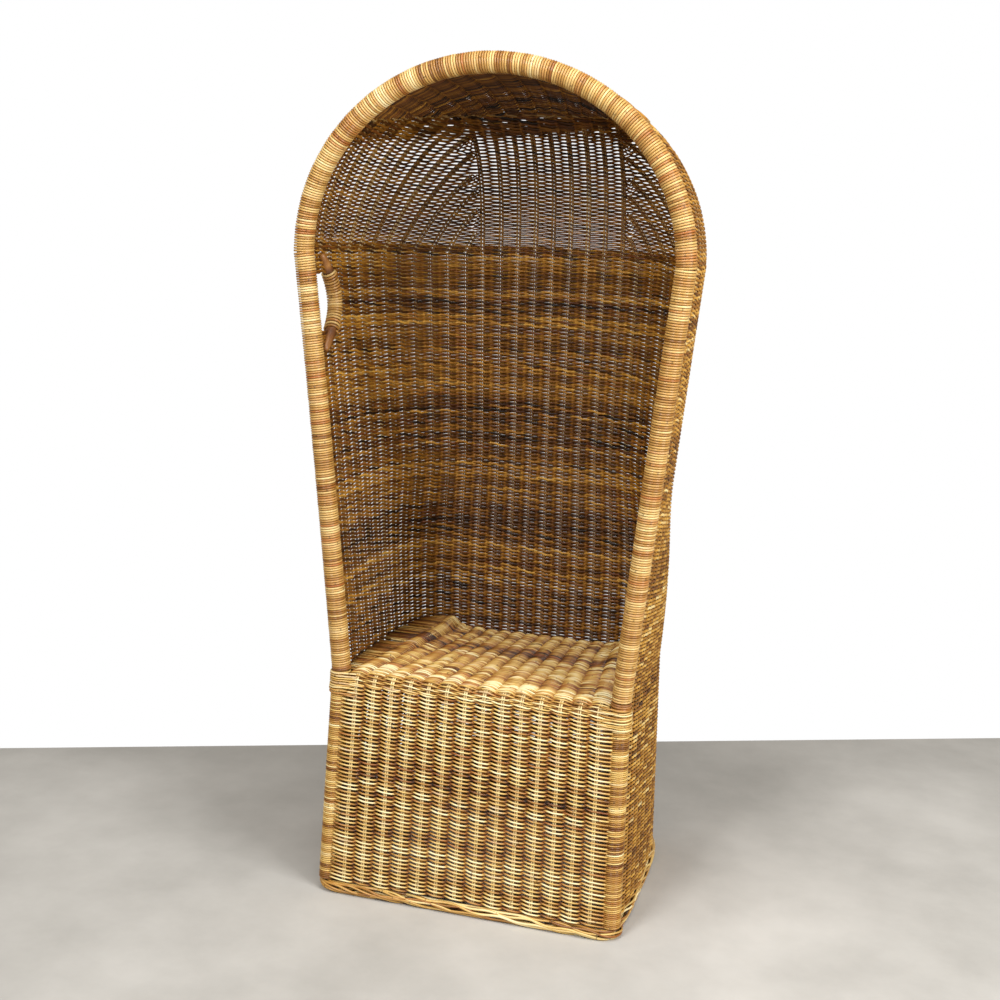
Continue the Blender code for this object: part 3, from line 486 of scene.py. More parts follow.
def bay_places(bays, fractions):
    """Points along a row, counted in bays: those fractions from each stake, and the row's two ends."""
    places = (np.arange(bays + 1)[:, None] + np.array(fractions)).ravel()
    return np.concatenate([[0.0], places[(places > 0) & (places < bays)], [float(bays)]])


def sharp(wave, crispness=4):
    """A sine wave made squarer: tanh(crispness * wave) / tanh(crispness)."""
    return np.tanh(crispness * wave) / math.tanh(crispness)


def flattened(wave):
    """A sine wave made flatter near zero: the wave times its size."""
    return wave * np.abs(wave)


def twined(
    points, normals, phase, reach, lift, size, tones, crispness=2.2, passing=sharp, sag=0.0, inner=0.0,
    between=0.12,
):
    """The two strands of one row, swept: phase is the angle of their twist at each point.

    Out from the wall a strand stands reach times the squared cosine wave, which is 1 over a stake. Across the
    row it stands lift times the passing wave, so square on the walls that the strands pass each other over
    the stakes, and sag farther between them. A strand's tone is lower by between midway between the stakes,
    partly where it turns its side and partly as painted shade in the hollows there. It is lower by inner
    where it runs inside, as painted shade of the dark hollow behind the weave; on the walls this is partly
    also cane that the sun never bleached.
    """
    along = ahead_at(points)
    aside = np.cross(along, normals)
    made = []
    for turned, tone in zip((0, math.pi), tones):
        cosine, sine = np.cos(phase + turned), np.sin(phase + turned)
        out = reach * sharp(cosine, crispness)
        across = lift * passing(sine) + sag * sine**2
        path = points + normals * out[:, None] + aside * across[:, None]
        # Painted shade: the tone falls by between midway between the stakes and by inner on the inside runs.
        shade = tone - between * sine**2 - inner * (cosine < 0)
        made.append(sweep(path, normals, size, 6, shade))
    return made


def strand_tones(count, middle, spread):
    """Tones of a row's two strands: each changes where a new strand begins, and drifts along it."""
    return [middle + rng.normal(0, spread) + wander(count, 12, spread) for _ in range(2)]


def wall_tone(z):
    """The walls' mean tone at height z: dark bands and light ones, as the lots of cane changed.

    Each band has its height, its half width and its change of tone, and is bell shaped.
    """
    bands = (
        (0.915, 0.035, -0.14), (1.06, 0.02, -0.1), (1.19, 0.03, 0.05), (0.8, 0.03, 0.07), (0.66, 0.02, -0.07)
    )
    return 0.66 + sum(change * math.exp(-(((z - middle) / width) ** 2)) for middle, width, change in bands)


beside_hole = (share > HOLE_SHARES[0]) & (share < HOLE_SHARES[1])
hole_y, hole_z = handle_line[beside_hole, 1], handle_line[beside_hole, 2]


def in_hole(x, y, z, margin):
    """Which places lie in the left wall's hand hole, or less than the margin behind it."""
    rear = np.interp(z, hole_z[::-1], hole_y[::-1])
    return (x < 0) & (y < rear + margin) & (hole_z.min() < z) & (z < hole_z.max())


row_heights = np.arange(BORDER_TOP + ROW_HEIGHT / 2, SPRING_HEIGHT, ROW_HEIGHT)
wall_places = bay_places(WALL_BAYS, TWIST_FRACTIONS)
lots = wander(len(row_heights), 4, 0.10)
rows, stake_points, stake_normals = [], [], []
for number, z in enumerate(row_heights):
    path, along = wall_row(z, (RIM_RADIUS - RIM_COVER) / full_depth(z))
    ahead = ahead_at(path)
    outward = np.cross(UP, ahead)
    stakes = np.arange(WALL_BAYS + 1) * along[-1] / WALL_BAYS
    stake_points.append(pick(path, along, stakes))
    stake_normals.append(pick(outward, along, stakes))
    place = wall_places * along[-1] / WALL_BAYS
    points, normals = pick(path, along, place), unit(pick(outward, along, place))
    points[:, 2] += drift(place, z)
    # Low down the strands are pressed wider, less so close to the rim, and let less daylight through.
    pressed = np.interp(z, (0.6, 1.1), (0.0005, 0.0001)) * np.interp(points[:, 1], (-0.12, 0.06), (0, 1))
    half = STRAND_HALF + rng.normal(0, 0.0001) + pressed
    tones = strand_tones(len(place), wall_tone(z) + lots[number], 0.12)
    keep = ~in_hole(points[:, 0], points[:, 1], z, HOLE_EDGE)
    points, normals, phase = points[keep], normals[keep], wall_places[keep] * math.pi
    size, tones = (STRAND_THICK, half[keep]), [tone[keep] for tone in tones]
    rows.append(twined(points, normals, phase, WEAVE_REACH, ROW_HEIGHT / 4, size, tones, inner=INSIDE_SHADE_AND_AGE))
for band in range(WALL_PIECES):
    chosen = rows[len(rows) * band // WALL_PIECES : len(rows) * (band + 1) // WALL_PIECES]
    together = [strand for row in chosen for strand in row]
    strands(f"wall_weave_{band + 1}", together, wall_cane, "shell_weave", *SHELL_NODES)


def stake_pair(points, normals, radius=0.0018, shade=0.55):
    """Two thin stakes side by side along the points, swept."""
    along = ahead_at(points)
    beside = np.cross(along, normals)
    tone = shade + rng.normal(0, 0.1)
    pair = []
    for sign in (-1, 1):
        path = points + beside * radius * 1.15 * sign
        pair.append(sweep(path, normals, (radius, radius), 6, tone + 0.04 * sign))
    return pair


stake_points, stake_normals = np.array(stake_points), np.array(stake_normals)
wall_stakes = []
for number in range(1, WALL_BAYS):
    line, out = stake_points[:, number], stake_normals[:, number]
    cut_away = in_hole(*line.T, STAKE_EDGE)
    cuts = np.flatnonzero(np.diff(cut_away.astype(int)))
    for part in np.split(np.arange(len(line)), cuts + 1):
        if len(part) > 3 and not cut_away[part[0]]:
            chosen = np.append(part[: -1 : 3 if len(part) > 60 else 1], part[-1])
            wall_stakes += stake_pair(line[chosen], out[chosen])
strands("wall_stakes", wall_stakes, stake_cane, "shell_weave", *SHELL_NODES)

# Weave of the hood
#
# Above the spring the same stakes bend in over the head. The sides' stakes lean in beside the arch, the
# back's stand upright, and they meet at a seam stake on each side. The rows here are thinner, so that
# daylight shows through, but for the last ones below the roof. Over the top, closer rows run side by side
# with the arch, round stakes that go from the front to the back.

HOOD_NODES = ("hood_side_left", "hood_side_right", "hood_back")
SEAM, SEAM_REACH, BACK_REACH = 0.150, 0.012, 0.2
ROOF_START, ROOF_RISE_SHARE = 1.4869, 0.12
RIM_SHARE, SIDE_SHARE = 0.039, 0.55  # of the depth: where a row leaves the rim, and where it turns
HOOD_STRAND, HOOD_REACH = 0.0019, 0.0033
CROWDED_WIDER, CROWDED_IN = 0.0016, 0.0012
CROWDED_NEAR, CROWDED_FAR = 0.030, 0.055  # below the roof's edge, where the rows are crowded and where free
LEAN, LEAN_HEIGHT = 1.05, 0.19  # the side stakes lean back above the spring: shares of depth for each metre
ROW_END = 0.004  # a stake this close to a row's end is left out
rise = ARCH_TOP - SPRING_HEIGHT


def roof_height(y):
    """Height of the roof's tilted edge at depth y."""
    return ROOF_START + ROOF_RISE_SHARE * (y - front_line(ROOF_START))


def hood_point(angle, deep):
    """Points of the hood's middle: half ellipses above the spring, narrower to the back as the plan is."""
    wide = wide_at(deep)
    x = -(HOOD_HALF + bulge(deep)) * wide * np.cos(angle)
    z = SPRING_HEIGHT + (rise + bulge(deep)) * wide * np.sin(angle)
    y = front_line(z) + full_depth(z) * deep
    return np.stack([x, y, z], axis=-1)


def hood_normal(points):
    """Outward directions: the slope of (x / width)^2 + (z / rise)^2 = (1 - deep^3)^(2/3) at the points."""
    x, y, z = points.T
    deep = np.clip((y - front_line(z)) / full_depth(z), 0.02, 0.995)
    across = HOOD_HALF + bulge(deep)
    up = rise + bulge(deep)
    slope_y = 2 * deep**2 * (1 - deep**3) ** (-1 / 3) / full_depth(z)
    return unit(np.stack([2 * x / across**2, slope_y, 2 * (z - SPRING_HEIGHT) / up**2], axis=-1))


def hood_row(z):
    """(points, distances, shares of depth) of the hood at height z, from left to right."""
    deep = np.linspace(RIM_SHARE, SIDE_SHARE, 60)
    up = (z - SPRING_HEIGHT) / (rise + bulge(deep))
    side_x = (HOOD_HALF + bulge(deep)) * np.sqrt(wide_at(deep) ** 2 - up**2)
    back_x = np.linspace(side_x[-1], 0, 80)[1:]
    wide = np.sqrt((back_x / (HOOD_HALF + SIDE_BULGE)) ** 2 + up[-1] ** 2)
    x = np.concatenate([side_x, back_x])
    deep = np.concatenate([deep, (1 - wide**HOOD_SQUARENESS) ** (1 / HOOD_SQUARENESS)])
    y = front_line(z) + full_depth(z) * deep
    kept = z < roof_height(y) + ROW_HEIGHT / 2
    x, y, deep = x[kept], y[kept], deep[kept]
    points = mirrored(np.stack([-x, y, np.full(len(x), z)], axis=-1))
    return points, lengths(points), np.concatenate([deep, deep[-2::-1]])


def leaning(deep, z):
    """A side stake's share of depth at height z, from that at the spring: it leans back, less and less."""
    up = np.clip((z - SPRING_HEIGHT) / LEAN_HEIGHT, 0, 1)
    return deep + LEAN * math.sin(math.pi * deep**1.8) * LEAN_HEIGHT * (up - up**2 / 2)


spring_row, spring_far = wall_row(SPRING_HEIGHT, (RIM_RADIUS - RIM_COVER) / full_depth(1.25))
spring_stakes = pick(spring_row, spring_far, np.linspace(0, spring_far[-1], WALL_BAYS + 1))[1:-1]
spring_deep = (spring_stakes[:, 1] - front_line(SPRING_HEIGHT)) / full_depth(SPRING_HEIGHT)


def stake_places(z, path, along, deep):
    """(distance along the row, number) of each stake that crosses the hood's row at height z."""
    middle = len(path) // 2
    back = np.abs(path[:, 0]) < BACK_REACH
    places = []
    for number, (stake_x, its_deep) in enumerate(zip(spring_stakes[:, 0], spring_deep), 1):
        if abs(stake_x) < SEAM + SEAM_REACH:
            x = stake_x if abs(stake_x) < SEAM - SEAM_REACH else math.copysign(SEAM, stake_x)
            place = np.interp(x, path[back, 0], along[back])
        else:
            deep_here = leaning(its_deep, z)
            place = np.interp(deep_here, deep[: middle + 1], along[: middle + 1])
            place = place if stake_x < 0 else along[-1] - place
            past_seam = abs(np.interp(place, along, path[:, 0])) < SEAM + 0.01
            if past_seam or not deep[0] < deep_here < deep[middle]:
                continue
        if ROW_END < place < along[-1] - ROW_END:
            places.append((place, number))
    return sorted(places)


def row_twist(places, end):
    """(distances, angles) of the twist at a hood row's points: half a turn from each stake to the next.

    Where an odd number of stakes has ended between two, it is a whole turn, so the strands stay in step.
    """
    stops = [0.0, *(place for place, _ in places), end]
    numbers = [places[0][1] - 1, *(number for _, number in places), places[-1][1] + 1]
    turned = math.pi * numbers[0]
    where, phase = [0.0], [turned]
    for low, high, before, after in zip(stops, stops[1:], numbers, numbers[1:]):
        halves = 1 if (after - before) % 2 else 2
        fractions = bay_places(halves, TWIST_FRACTIONS)[1:-1]
        where += list(low + (high - low) * fractions / halves)
        phase += list(turned + math.pi * fractions)
        turned += math.pi * halves
    return np.array([*where, end]), np.array([*phase, turned])


back_rise = hood_point(np.full(400, math.pi / 2), 1 - np.linspace(0, 0.7, 400) ** 3)
back_rise_far = lengths(back_rise)
below = SPRING_HEIGHT - row_heights[-1]
row_fars = np.arange(ROW_HEIGHT - below, back_rise_far[-1], ROW_HEIGHT)
stake_paths = {}
hood_rows = []
for z in np.interp(row_fars, back_rise_far, back_rise[:, 2]):
    path, along, deep = hood_row(z)
    if len(path) < 12:
        continue
    places = stake_places(z, path, along, deep)
    for place, number in places:
        stake_paths.setdefault(number, []).append(pick(path, along, [place])[0])
    where, phase = row_twist(places, along[-1])
    points = pick(path, along, where)
    normals = hood_normal(points)
    points[:, 2] += drift(where, z)
    tones = strand_tones(len(where), 0.60, 0.10)
    to_roof = roof_height(points[:, 1]) - z + rng.normal(0, 0.006, len(where))
    crowded = np.interp(to_roof, (CROWDED_NEAR, CROWDED_FAR), (1, 0))
    crowded = np.maximum(crowded, 0.5 * np.interp(z - SPRING_HEIGHT, (0.006, 0.02), (1, 0)))
    size = (STRAND_THICK, HOOD_STRAND + CROWDED_WIDER * crowded)
    reach = HOOD_REACH - CROWDED_IN * crowded
    hood_rows += twined(points, normals, phase, reach, HOOD_STRAND, size, tones, inner=INSIDE_SHADE_AND_AGE)
strands("hood_weave", hood_rows, wall_cane, "hood_weave", *HOOD_NODES)
hood_stakes = []
for number, path in stake_paths.items():
    path = np.array([spring_stakes[number - 1], *path])
    if len(path) > 3:
        hood_stakes += stake_pair(path, hood_normal(path), 0.0025)
strands("hood_stakes", hood_stakes, stake_cane, "hood_weave", *HOOD_NODES)

ROOF_BAYS, ROOF_BAY_ANGLE, ROOF_STAKES = 40, math.radians(5.9), 8
ROOF_END_SHARE, ROOF_END_ANGLE = 0.81, math.radians(84)


def roof_edge(deep):
    """The angle at which a half ellipse at this depth rises through the roof's edge, found in four steps."""
    wide = wide_at(deep)
    z = np.full(np.shape(deep), ROOF_START)
    for _ in range(4):
        z = roof_height(front_line(z) + full_depth(z) * deep)
    return np.arcsin(np.clip((z - SPRING_HEIGHT) / ((rise + bulge(deep)) * wide), 0, 1))


crown = np.linspace(RIM_SHARE, ROOF_END_SHARE, 300)
crown_far = lengths(hood_point(np.full(300, math.pi / 2), crown))
roof_places = math.pi / 2 + (bay_places(ROOF_BAYS, TWIST_FRACTIONS) - ROOF_BAYS / 2) * ROOF_BAY_ANGLE
roof_rows = []
for far in np.arange(0, crown_far[-1], ROW_HEIGHT):
    deep = np.interp(far, crown_far, crown)
    edge = roof_edge(deep)
    if edge > ROOF_END_ANGLE:
        break
    woven = (roof_places > edge) & (roof_places < math.pi - edge)
    angle = np.concatenate([[edge], roof_places[woven], [math.pi - edge]])
    points = hood_point(angle, np.full(len(angle), deep))
    phase = math.pi * (angle - math.pi / 2) / ROOF_BAY_ANGLE
    tones = strand_tones(len(angle), 0.60, 0.12)
    size = (STRAND_THICK, STRAND_HALF)
    normals = hood_normal(points)
    roof_rows += twined(points, normals, phase, WEAVE_REACH, ROW_HEIGHT / 4, size, tones, inner=INSIDE_SHADE_AND_AGE)
strands("roof_weave", roof_rows, wall_cane, "hood_weave", "hood_roof")
roof_stakes = []
for index in range(-ROOF_STAKES, ROOF_STAKES + 1):
    angle = math.pi / 2 + index * ROOF_BAY_ANGLE
    deep = crown[::12]
    inside = (roof_edge(deep) < angle + 0.02) & (roof_edge(deep) < math.pi - angle + 0.02)
    if inside.sum() > 3:
        line = hood_point(np.full(inside.sum(), angle), deep[inside])
        roof_stakes += stake_pair(line, hood_normal(line), 0.0016)
# Two thicker strands, twisted together, close the roof's edge.
EDGE_STRAND, EDGE_REACH, EDGE_TWIST = 0.0022, 0.003, 0.035
edge_deep = np.linspace(crown[0], 0.80, 90)
edge_line = mirrored(hood_point(roof_edge(edge_deep), edge_deep))
edge_phase = lengths(edge_line) / EDGE_TWIST * math.pi
edge_tones = strand_tones(len(edge_line), 0.5, 0.08)
size, normals = (EDGE_STRAND, EDGE_STRAND), hood_normal(edge_line)
roof_stakes += twined(edge_line, normals, edge_phase, EDGE_REACH, EDGE_STRAND, size, edge_tones)
strands("roof_stakes", roof_stakes, stake_cane, "hood_weave", "hood_roof")

# Seat and front panel
#
# One sheet of the same weave comes up the front of the base, rolls over the front rail and runs back as the
# seat. Fourteen pairs of stakes make its ribs. At both sides of the seat the strands lie bare, side by side,
# where they climb to the side rails.

SKIN, RAIL_RADIUS, CLEARANCE = 0.011, 0.011, 0.0003
RAIL_HEIGHT = SEAT_HEIGHT - SKIN - CLEARANCE - RAIL_RADIUS
ROLL = RAIL_RADIUS + CLEARANCE + SKIN / 2
RIBS = 14
RIB_FRACTIONS = (-0.37, -0.22, -0.07, 0.07, 0.22, 0.37)
FRONT_STRAND, FRONT_SAG = 0.0017, -0.0012
rib_places = bay_places(RIBS + 1, RIB_FRACTIONS) - (RIBS + 1) / 2
rib_numbers = np.arange(RIBS) - (RIBS - 1) / 2
rib_rows = []


def rib_phase(x, spread):
    """The twist's angle at x: half a turn from rib to rib, with x at 0 midway between two ribs."""
    return math.pi * (x / spread + 0.5)


def rib_row(x, y, z, out):
    """Places and outward directions of all the ribs in one row."""
    return np.column_stack([x, np.broadcast_to(y, RIBS), np.broadcast_to(z, RIBS), np.tile(out, (RIBS, 1))])


front_lots = wander(60, 3, 0.13)
panel = []
for number, z in enumerate(np.arange(BORDER_TOP + ROW_HEIGHT / 2, RAIL_HEIGHT, ROW_HEIGHT)):
    half = side_line(z) - LEG_RADIUS * 0.5
    spread = side_line(z) * 2 / (RIBS + 1)
    x = rib_places * spread
    x = np.concatenate([[-half], x[np.abs(x) < half], [half]])
    y = front_line(z) - LEG_RADIUS + SKIN / 2
    points = np.stack([x, np.full(len(x), y), z + drift(x + 3, z)], axis=-1)
    normals = np.broadcast_to((0.0, -1.0, 0.0), points.shape)
    tones = strand_tones(len(x), 0.86 + front_lots[number], 0.12)
    # Beyond the last rib the twist slows to 0.6, as the strands run on to the leg.
    last = (RIBS - 1) / 2 * spread
    held = np.sign(x) * np.minimum(np.abs(x), last + 0.6 * np.maximum(np.abs(x) - last, 0))
    phase = rib_phase(held, spread)
    size = (FRONT_STRAND, FRONT_STRAND)
    # Runs behind the ribs are 0.6 darker, painted shade of the dark base inside. Midway between ribs they are
    # 0.28 darker, partly the strands' turned sides and partly painted shade.
    panel += twined(
        points, normals, phase, WEAVE_REACH, FRONT_STRAND, size, tones, 2.2, flattened, FRONT_SAG, 0.6, 0.28
    )
    rib_rows.append(rib_row(rib_numbers * spread, y, z, (0.0, -1.0, 0.0)))
strands("front_weave", panel, front_cane, "front_weave", "base_front_weave")

SEAT_SIDE, LEG_BACK, SEAT_BACK = 0.020, 0.020, 0.448
SEAT_FALL, EDGE_STRIP, EDGE_SLOPE = 0.022, 0.040, 0.030
RAIL_HALF_FRONT, RAIL_HALF_BACK = 0.261, 0.235  # from the chair's middle to the side rails
RIB_SPREAD_FRONT, RIB_SPREAD_BACK = 0.0373, 0.0300
STREAK_AT, STREAK_HALF, STREAK_DEPTH = 0.275, 0.03, 0.40  # a red brown streak across the seat
LUMP_LENGTH, LUMP_HEIGHT, SEAT_RELIEF = 0.03, 0.0016, 0.0042
FIRST_SHARE = 0.04


def patches(x, y):
    """Broad light and dark places of the seat: two products of slow sine waves in both directions."""
    broad = np.sin(17 * x + 9 * y + 1) * np.sin(21 * y - 11 * x + 2)
    return broad + 0.6 * np.sin(43 * x + 5) * np.sin(37 * y)


seat_lots = wander(80, 3, 0.12)
lumps = rng.uniform(-1, 1, (20, 2 * RIBS))
seat_plan, _ = wall_row(SEAT_HEIGHT, FIRST_SHARE)
right_edge = seat_plan[len(seat_plan) // 2 :][::-1]
roll_y = front_line(RAIL_HEIGHT) - LEG_RADIUS + SKIN + CLEARANCE + RAIL_RADIUS
seat_places = []  # depth, height, half width, share of the depth, outward direction
for angle in np.linspace(math.pi / 2, 0.25, 4):
    y, z = roll_y - math.sin(angle) * ROLL, RAIL_HEIGHT + math.cos(angle) * ROLL
    seat_places.append((y, z, SEAT_HALF - SEAT_SIDE, 0.0, (0.0, -math.sin(angle), math.cos(angle))))
for y in np.arange(roll_y, SEAT_BACK, ROW_HEIGHT):
    edge = np.interp(y, right_edge[:, 1], right_edge[:, 0])
    half = SEAT_HALF - SEAT_SIDE if y < LEG_BACK else edge - SKIN / 2
    seat_places.append((y, SEAT_HEIGHT - SKIN / 2, half, max(y, 0.0) / SEAT_DEPTH, UP))


def fall(x, strip, back):
    """How far the seat has sunk at x: deeper to the back, and not at all at the side rails."""
    return SEAT_FALL * back * (1 - np.clip((np.abs(x) - strip) / EDGE_SLOPE + 1, 0, 1))


seat_rows = []
for number, (y, z, half, back, out) in enumerate(seat_places):
    strip = RAIL_HALF_FRONT + (RAIL_HALF_BACK - RAIL_HALF_FRONT) * back - EDGE_STRIP
    spread = RIB_SPREAD_FRONT + (RIB_SPREAD_BACK - RIB_SPREAD_FRONT) * min(back * 1.3, 1.0)
    last = spread * (RIBS - 1) / 2
    x = rib_places * spread
    x = np.concatenate([[-half], x[np.abs(x) < half - 0.002], [half]])
    held = np.clip(x, -last - spread / 2, last + spread / 2)
    woven = np.clip((last + spread * 0.8 - np.abs(x)) / (spread * 0.3), 0.12, 1)  # low where strands lie bare
    beside = y + drift(x + 5, y) * 0.8 + (1 - woven) * rng.normal(0, 0.0025)
    points = np.stack([x, beside, z - fall(x, strip, back)], axis=-1)
    normals = np.broadcast_to(out, points.shape)
    streak = STREAK_DEPTH * math.exp(-(((y - STREAK_AT) / STREAK_HALF) ** 2))
    tone_here = 0.86 - 0.22 * back - streak + seat_lots[number]
    tones = [tone_here + rng.normal(0, 0.14) + wander(len(x), 6, 0.22) for _ in range(2)]
    step = y / LUMP_LENGTH
    lump_row = lumps[int(step)] * (1 - step % 1) + lumps[int(step) + 1] * (step % 1)
    lump = np.interp(x, np.linspace(-half, half, len(lump_row)), lump_row)
    tones = [tone + 0.10 * patches(x, y) + 0.08 * lump for tone in tones]
    points[:, 2] += LUMP_HEIGHT * lump * woven
    phase = rib_phase(held, spread)
    size = (STRAND_THICK, 0.0012 + 0.0002 * woven)
    relief = SEAT_RELIEF * woven * (1 + 0.35 * lump)
    # Under runs are 0.25 darker, painted shade. The valleys between ribs are 0.2 darker, painted shade and
    # partly the strands' turned sides.
    seat_rows += twined(
        points, normals, phase, relief, ROW_HEIGHT / 4, size, tones, 1.4, flattened, inner=0.25, between=0.2
    )
    rib_x = rib_numbers * spread
    rib_rows.append(rib_row(rib_x, y, z - fall(rib_x, strip, back), out))
# Seat cane: the front's cane, polished by use and rustier.
seat_cane = cane_material("seat_weaving_cane", weave_stops, "#9a4f20", 0.7, (0.3, 0.5))
strands("seat_weave_cane", seat_rows, seat_cane, "seat_weave", "seat_weave")
ribs = []
for line in np.array(rib_rows).transpose(1, 0, 2):
    ribs += stake_pair(line[:, :3], line[:, 3:], 0.0018, 0.85)
strands("seat_and_front_stakes", ribs, stake_cane, "seat_weave", "seat_weave", "base_front_weave")

# Foot border
#
# The stakes' ends are bent over at the floor and plaited into a thick border. Twelve strands lie round it and
# turn slowly as they go, with round corners at the front.

BORDER_SIZE, BORDER_CORNER = 0.023, 0.030
BORDER_STRANDS, BORDER_POINTS = 12, 420
BORDER_RING = BORDER_SIZE / 2 - 0.0029  # from the border's middle to a strand's
BORDER_CANE, CANE_SPREAD = 0.0022, 0.0003
foot_plan, _ = wall_row(BORDER_TOP, FIRST_SHARE)
front_y = front_line(0) - LEG_RADIUS + SKIN / 2
side_x = side_line(0) + SIDE_BULGE
turn = np.linspace(0, math.pi / 2, 8)
corner_x = side_x - BORDER_CORNER * (1 - np.cos(turn))
corner = np.stack([corner_x, front_y + BORDER_CORNER * (1 - np.sin(turn))], axis=-1)
behind = foot_plan[foot_plan[:, 1] > front_y + BORDER_CORNER + BORDER_SIZE, :2]
outline = np.concatenate([corner[::-1] * (-1, 1), behind, corner])
outline = np.concatenate([outline, outline[:1]])
outline = np.column_stack([outline, np.zeros(len(outline))])
outline_far = lengths(outline)
loop = pick(outline, outline_far, np.linspace(0, outline_far[-1], BORDER_POINTS, endpoint=False))
loop_out = np.cross(UP, ahead_at(loop, closed=True))
border = []
for number in range(BORDER_STRANDS):
    radius = BORDER_CANE + CANE_SPREAD * math.sin(number * 2.4)
    spin = 4 if number % 2 else 3
    around = np.linspace(0, spin * 2 * math.pi, BORDER_POINTS, endpoint=False)
    around = around + number * 2 * math.pi / BORDER_STRANDS
    waves = np.linspace(0, 40 * math.pi, BORDER_POINTS, endpoint=False) + number * 1.7
    around = around + 0.35 * np.sin(waves)
    away = loop_out * np.cos(around)[:, None] + np.array(UP) * np.sin(around)[:, None]
    path = loop + (0, 0, BORDER_SIZE / 2) + away * BORDER_RING
    tone = 0.66 + wander(BORDER_POINTS, 20, 0.2)
    tone = tone + (tone[0] - tone[-1]) * np.linspace(0, 1, BORDER_POINTS)
    border.append(sweep(path, away, (radius, radius), 7, tone, closed=True))
strands("foot_border_plait", border, front_cane, "border", "foot_border")

# Turns over the front legs
#
# At the seat's two front corners the topmost strands of the panel don't turn back at the leg. They run on
# over its winding, one below the other, and go into the side wall behind it.

CORNER_TURNS, TURN_PITCH, TURN_RADIUS = 9, 0.0048, 0.0206
TURN_TOP, TURN_STRAND = 0.4455, 0.0016
FROM_RIB = ((-0.038, -0.0140), (-0.029, -0.0160), (-0.019, -0.0180))  # across and back from the leg's middle
INTO_WALL = ((0.0165, 0.019), (0.0120, 0.030), (0.0070, 0.042))
swing = np.radians(np.linspace(-118, 25, 16))
bend = TURN_RADIUS * np.column_stack([np.cos(swing), np.sin(swing)])
turn_plan = np.concatenate([FROM_RIB, bend, INTO_WALL])
turn_ahead = ahead_at(turn_plan)
count = len(turn_plan)
for side, sign in SIDES:
    turns = []
    for number in range(CORNER_TURNS):
        z = TURN_TOP - number * TURN_PITCH + rng.normal(0, 0.0004)
        height = z + wander(count, 6, 0.0009)
        height = height + rng.normal(0, 0.0012) * np.linspace(-1, 1, count)
        proud = 1 + wander(count, 8, 0.03)
        x, y = (turn_plan * proud[:, None]).T
        points = np.stack([sign * (side_line(z) + x), front_line(z) + y, height], axis=-1)
        out = np.stack([sign * turn_ahead[:, 1], -turn_ahead[:, 0], np.zeros(len(x))], axis=-1)
        tone = 0.70 + rng.normal(0, 0.14) + wander(len(x), 6, 0.12)
        turns.append(sweep(points, out, (TURN_STRAND, TURN_STRAND), 6, tone))
    strands(f"corner_turns_{side}", turns, front_cane, "front_weave", f"leg_wrap_{side}", "base_front_weave")

# Floor and backdrop
#
# A plain pale floor with a faint mottle 40 cm wide, which ends at the foot of a white wall. The wall itself
# is only the white that the camera sees past the floor. Three soft lamps light the chair from before it.

FLOOR_REACH, FLOOR_FRONT = 3.0, -4.0
wall_left, wall_right = (-1.326, 0.143), (1.034, 1.183)  # two points of the wall's foot
material, tree, shader = new_material("pale_floor")
place = node(tree, "NewGeometry").outputs["Position"]
cloud = node(tree, "TexNoise", {"Scale": 2.5, "Detail": 6.0, "Roughness": 0.6}, {"Vector": place})
floor_stops = ((0.3, "#a9a6a0"), (0.7, "#c3c0ba"))
floor_shade = node(tree, "ValToRGB", {"stops": floor_stops}, {0: cloud.outputs[0]})
tree.links.new(floor_shade.outputs[0], shader.inputs["Base Color"])
shader.inputs["Roughness"].default_value = 0.75
slope = (wall_right[1] - wall_left[1]) / (wall_right[0] - wall_left[0])
near_edge = [(x, FLOOR_FRONT, 0.0) for x in (-FLOOR_REACH, FLOOR_REACH)]
far_edge = [(x, wall_left[1] + slope * (x - wall_left[0]), 0.0) for x in (FLOOR_REACH, -FLOOR_REACH)]
floor_mesh = bpy.data.meshes.new("floor")
floor_mesh.from_pydata([*near_edge, *far_edge], [], [(0, 1, 2, 3)])
floor_mesh.materials.append(material)
floor = add_object("floor", floor_mesh)

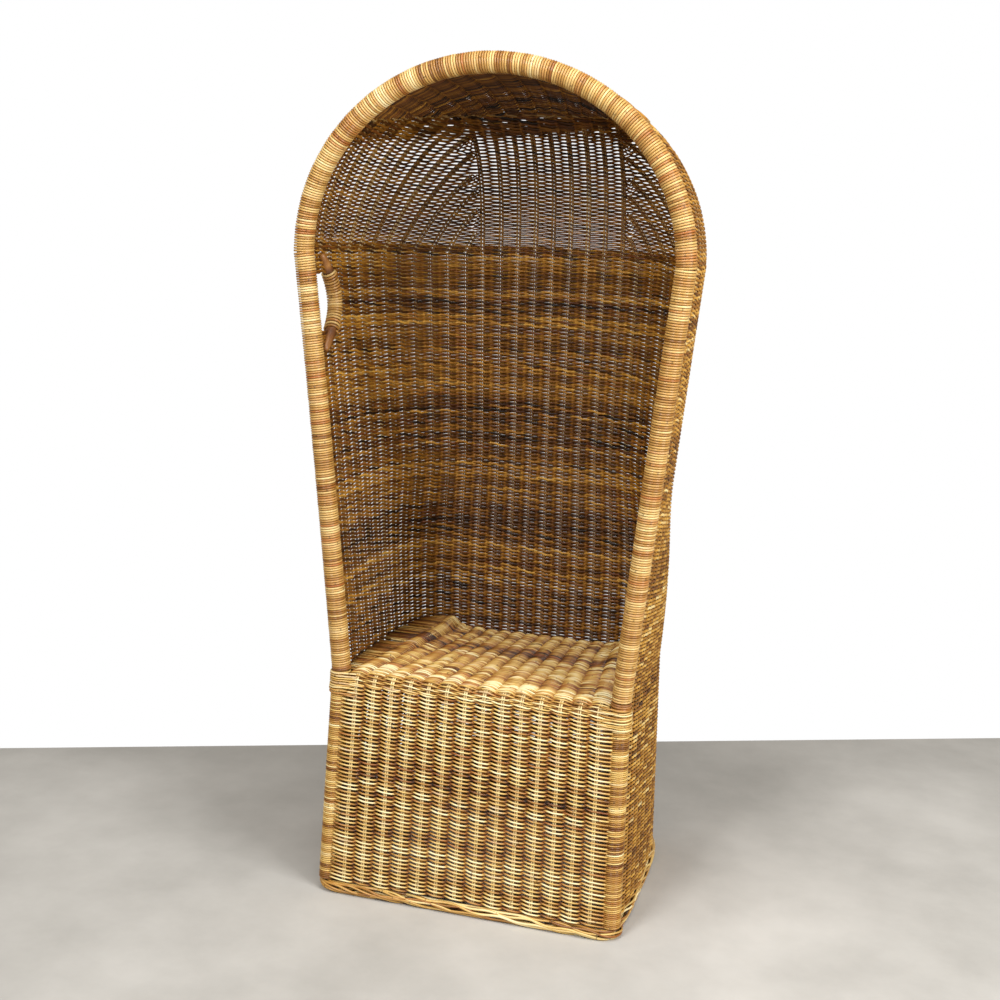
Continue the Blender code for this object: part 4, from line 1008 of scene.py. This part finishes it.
world = bpy.data.worlds.new("white_room")
bpy.context.scene.world = world
world.use_nodes = True
tree = world.node_tree
tree.nodes.clear()
seen = node(tree, "LightPath").outputs["Is Camera Ray"]
light = node(tree, "Background", {"Color": colour("#fff8ee"), "Strength": 0.3})
white = node(tree, "Background", {"Color": (1.0, 1.0, 1.0, 1.0), "Strength": 1.0})
mixed = node(tree, "MixShader", links={0: seen, 1: light.outputs[0], 2: white.outputs[0]})
node(tree, "OutputWorld", links={0: mixed.outputs[0]})


def lamp(name, place, aim, size, power):
    """A soft square white lamp at the place, turned towards the point it aims at."""
    data = bpy.data.lights.new(name, "AREA")
    data.size = size
    data.energy = power
    made = add_object(name, data)
    back = unit(np.array(place, float) - np.array(aim, float))
    right = unit(np.cross(UP, back))
    columns = np.column_stack([right, np.cross(back, right), back, place])
    made.matrix_world = Matrix([*map(list, columns), (0, 0, 0, 1)])


lamp("key", (-0.7, -3.2, 2.8), (0, 0, 0.8), 0.9, 92)
lamp("fill", (2.4, -1.4, 1.9), (0, 0, 0.8), 1.4, 90)
lamp("top", (0.2, -0.9, 3.3), (0, 0, 0.5), 1.2, 35)

# Camera
#
# It stands 1.3 m high before the chair's right front, and looks a little down, with a slight roll.

AZIMUTH, DISTANCE, HEIGHT = 0.302, 2.549, 1.325
PITCH, ROLL_ANGLE, YAW = 0.198, 0.036, -0.012
LENS, SENSOR = 50.4, 36.0
eye = np.array([DISTANCE * math.sin(AZIMUTH), -DISTANCE * math.cos(AZIMUTH) - CENTRE_DEPTH, HEIGHT])
heading = AZIMUTH + YAW
level_ahead = np.array([-math.sin(heading), math.cos(heading), 0.0])
ahead = level_ahead * math.cos(PITCH) - np.array([0.0, 0.0, math.sin(PITCH)])
level = unit(np.cross(ahead, UP))
upright = np.cross(level, ahead)
right = level * math.cos(ROLL_ANGLE) + upright * math.sin(ROLL_ANGLE)
top = upright * math.cos(ROLL_ANGLE) - level * math.sin(ROLL_ANGLE)
camera_data = bpy.data.cameras.new("camera")
camera_data.lens = LENS
camera_data.sensor_width = SENSOR
camera = add_object("camera", camera_data)
camera.matrix_world = Matrix([*map(list, np.column_stack([right, top, -ahead, eye])), (0, 0, 0, 1)])
bpy.context.scene.camera = camera
bpy.context.scene.view_settings.view_transform = "Standard"
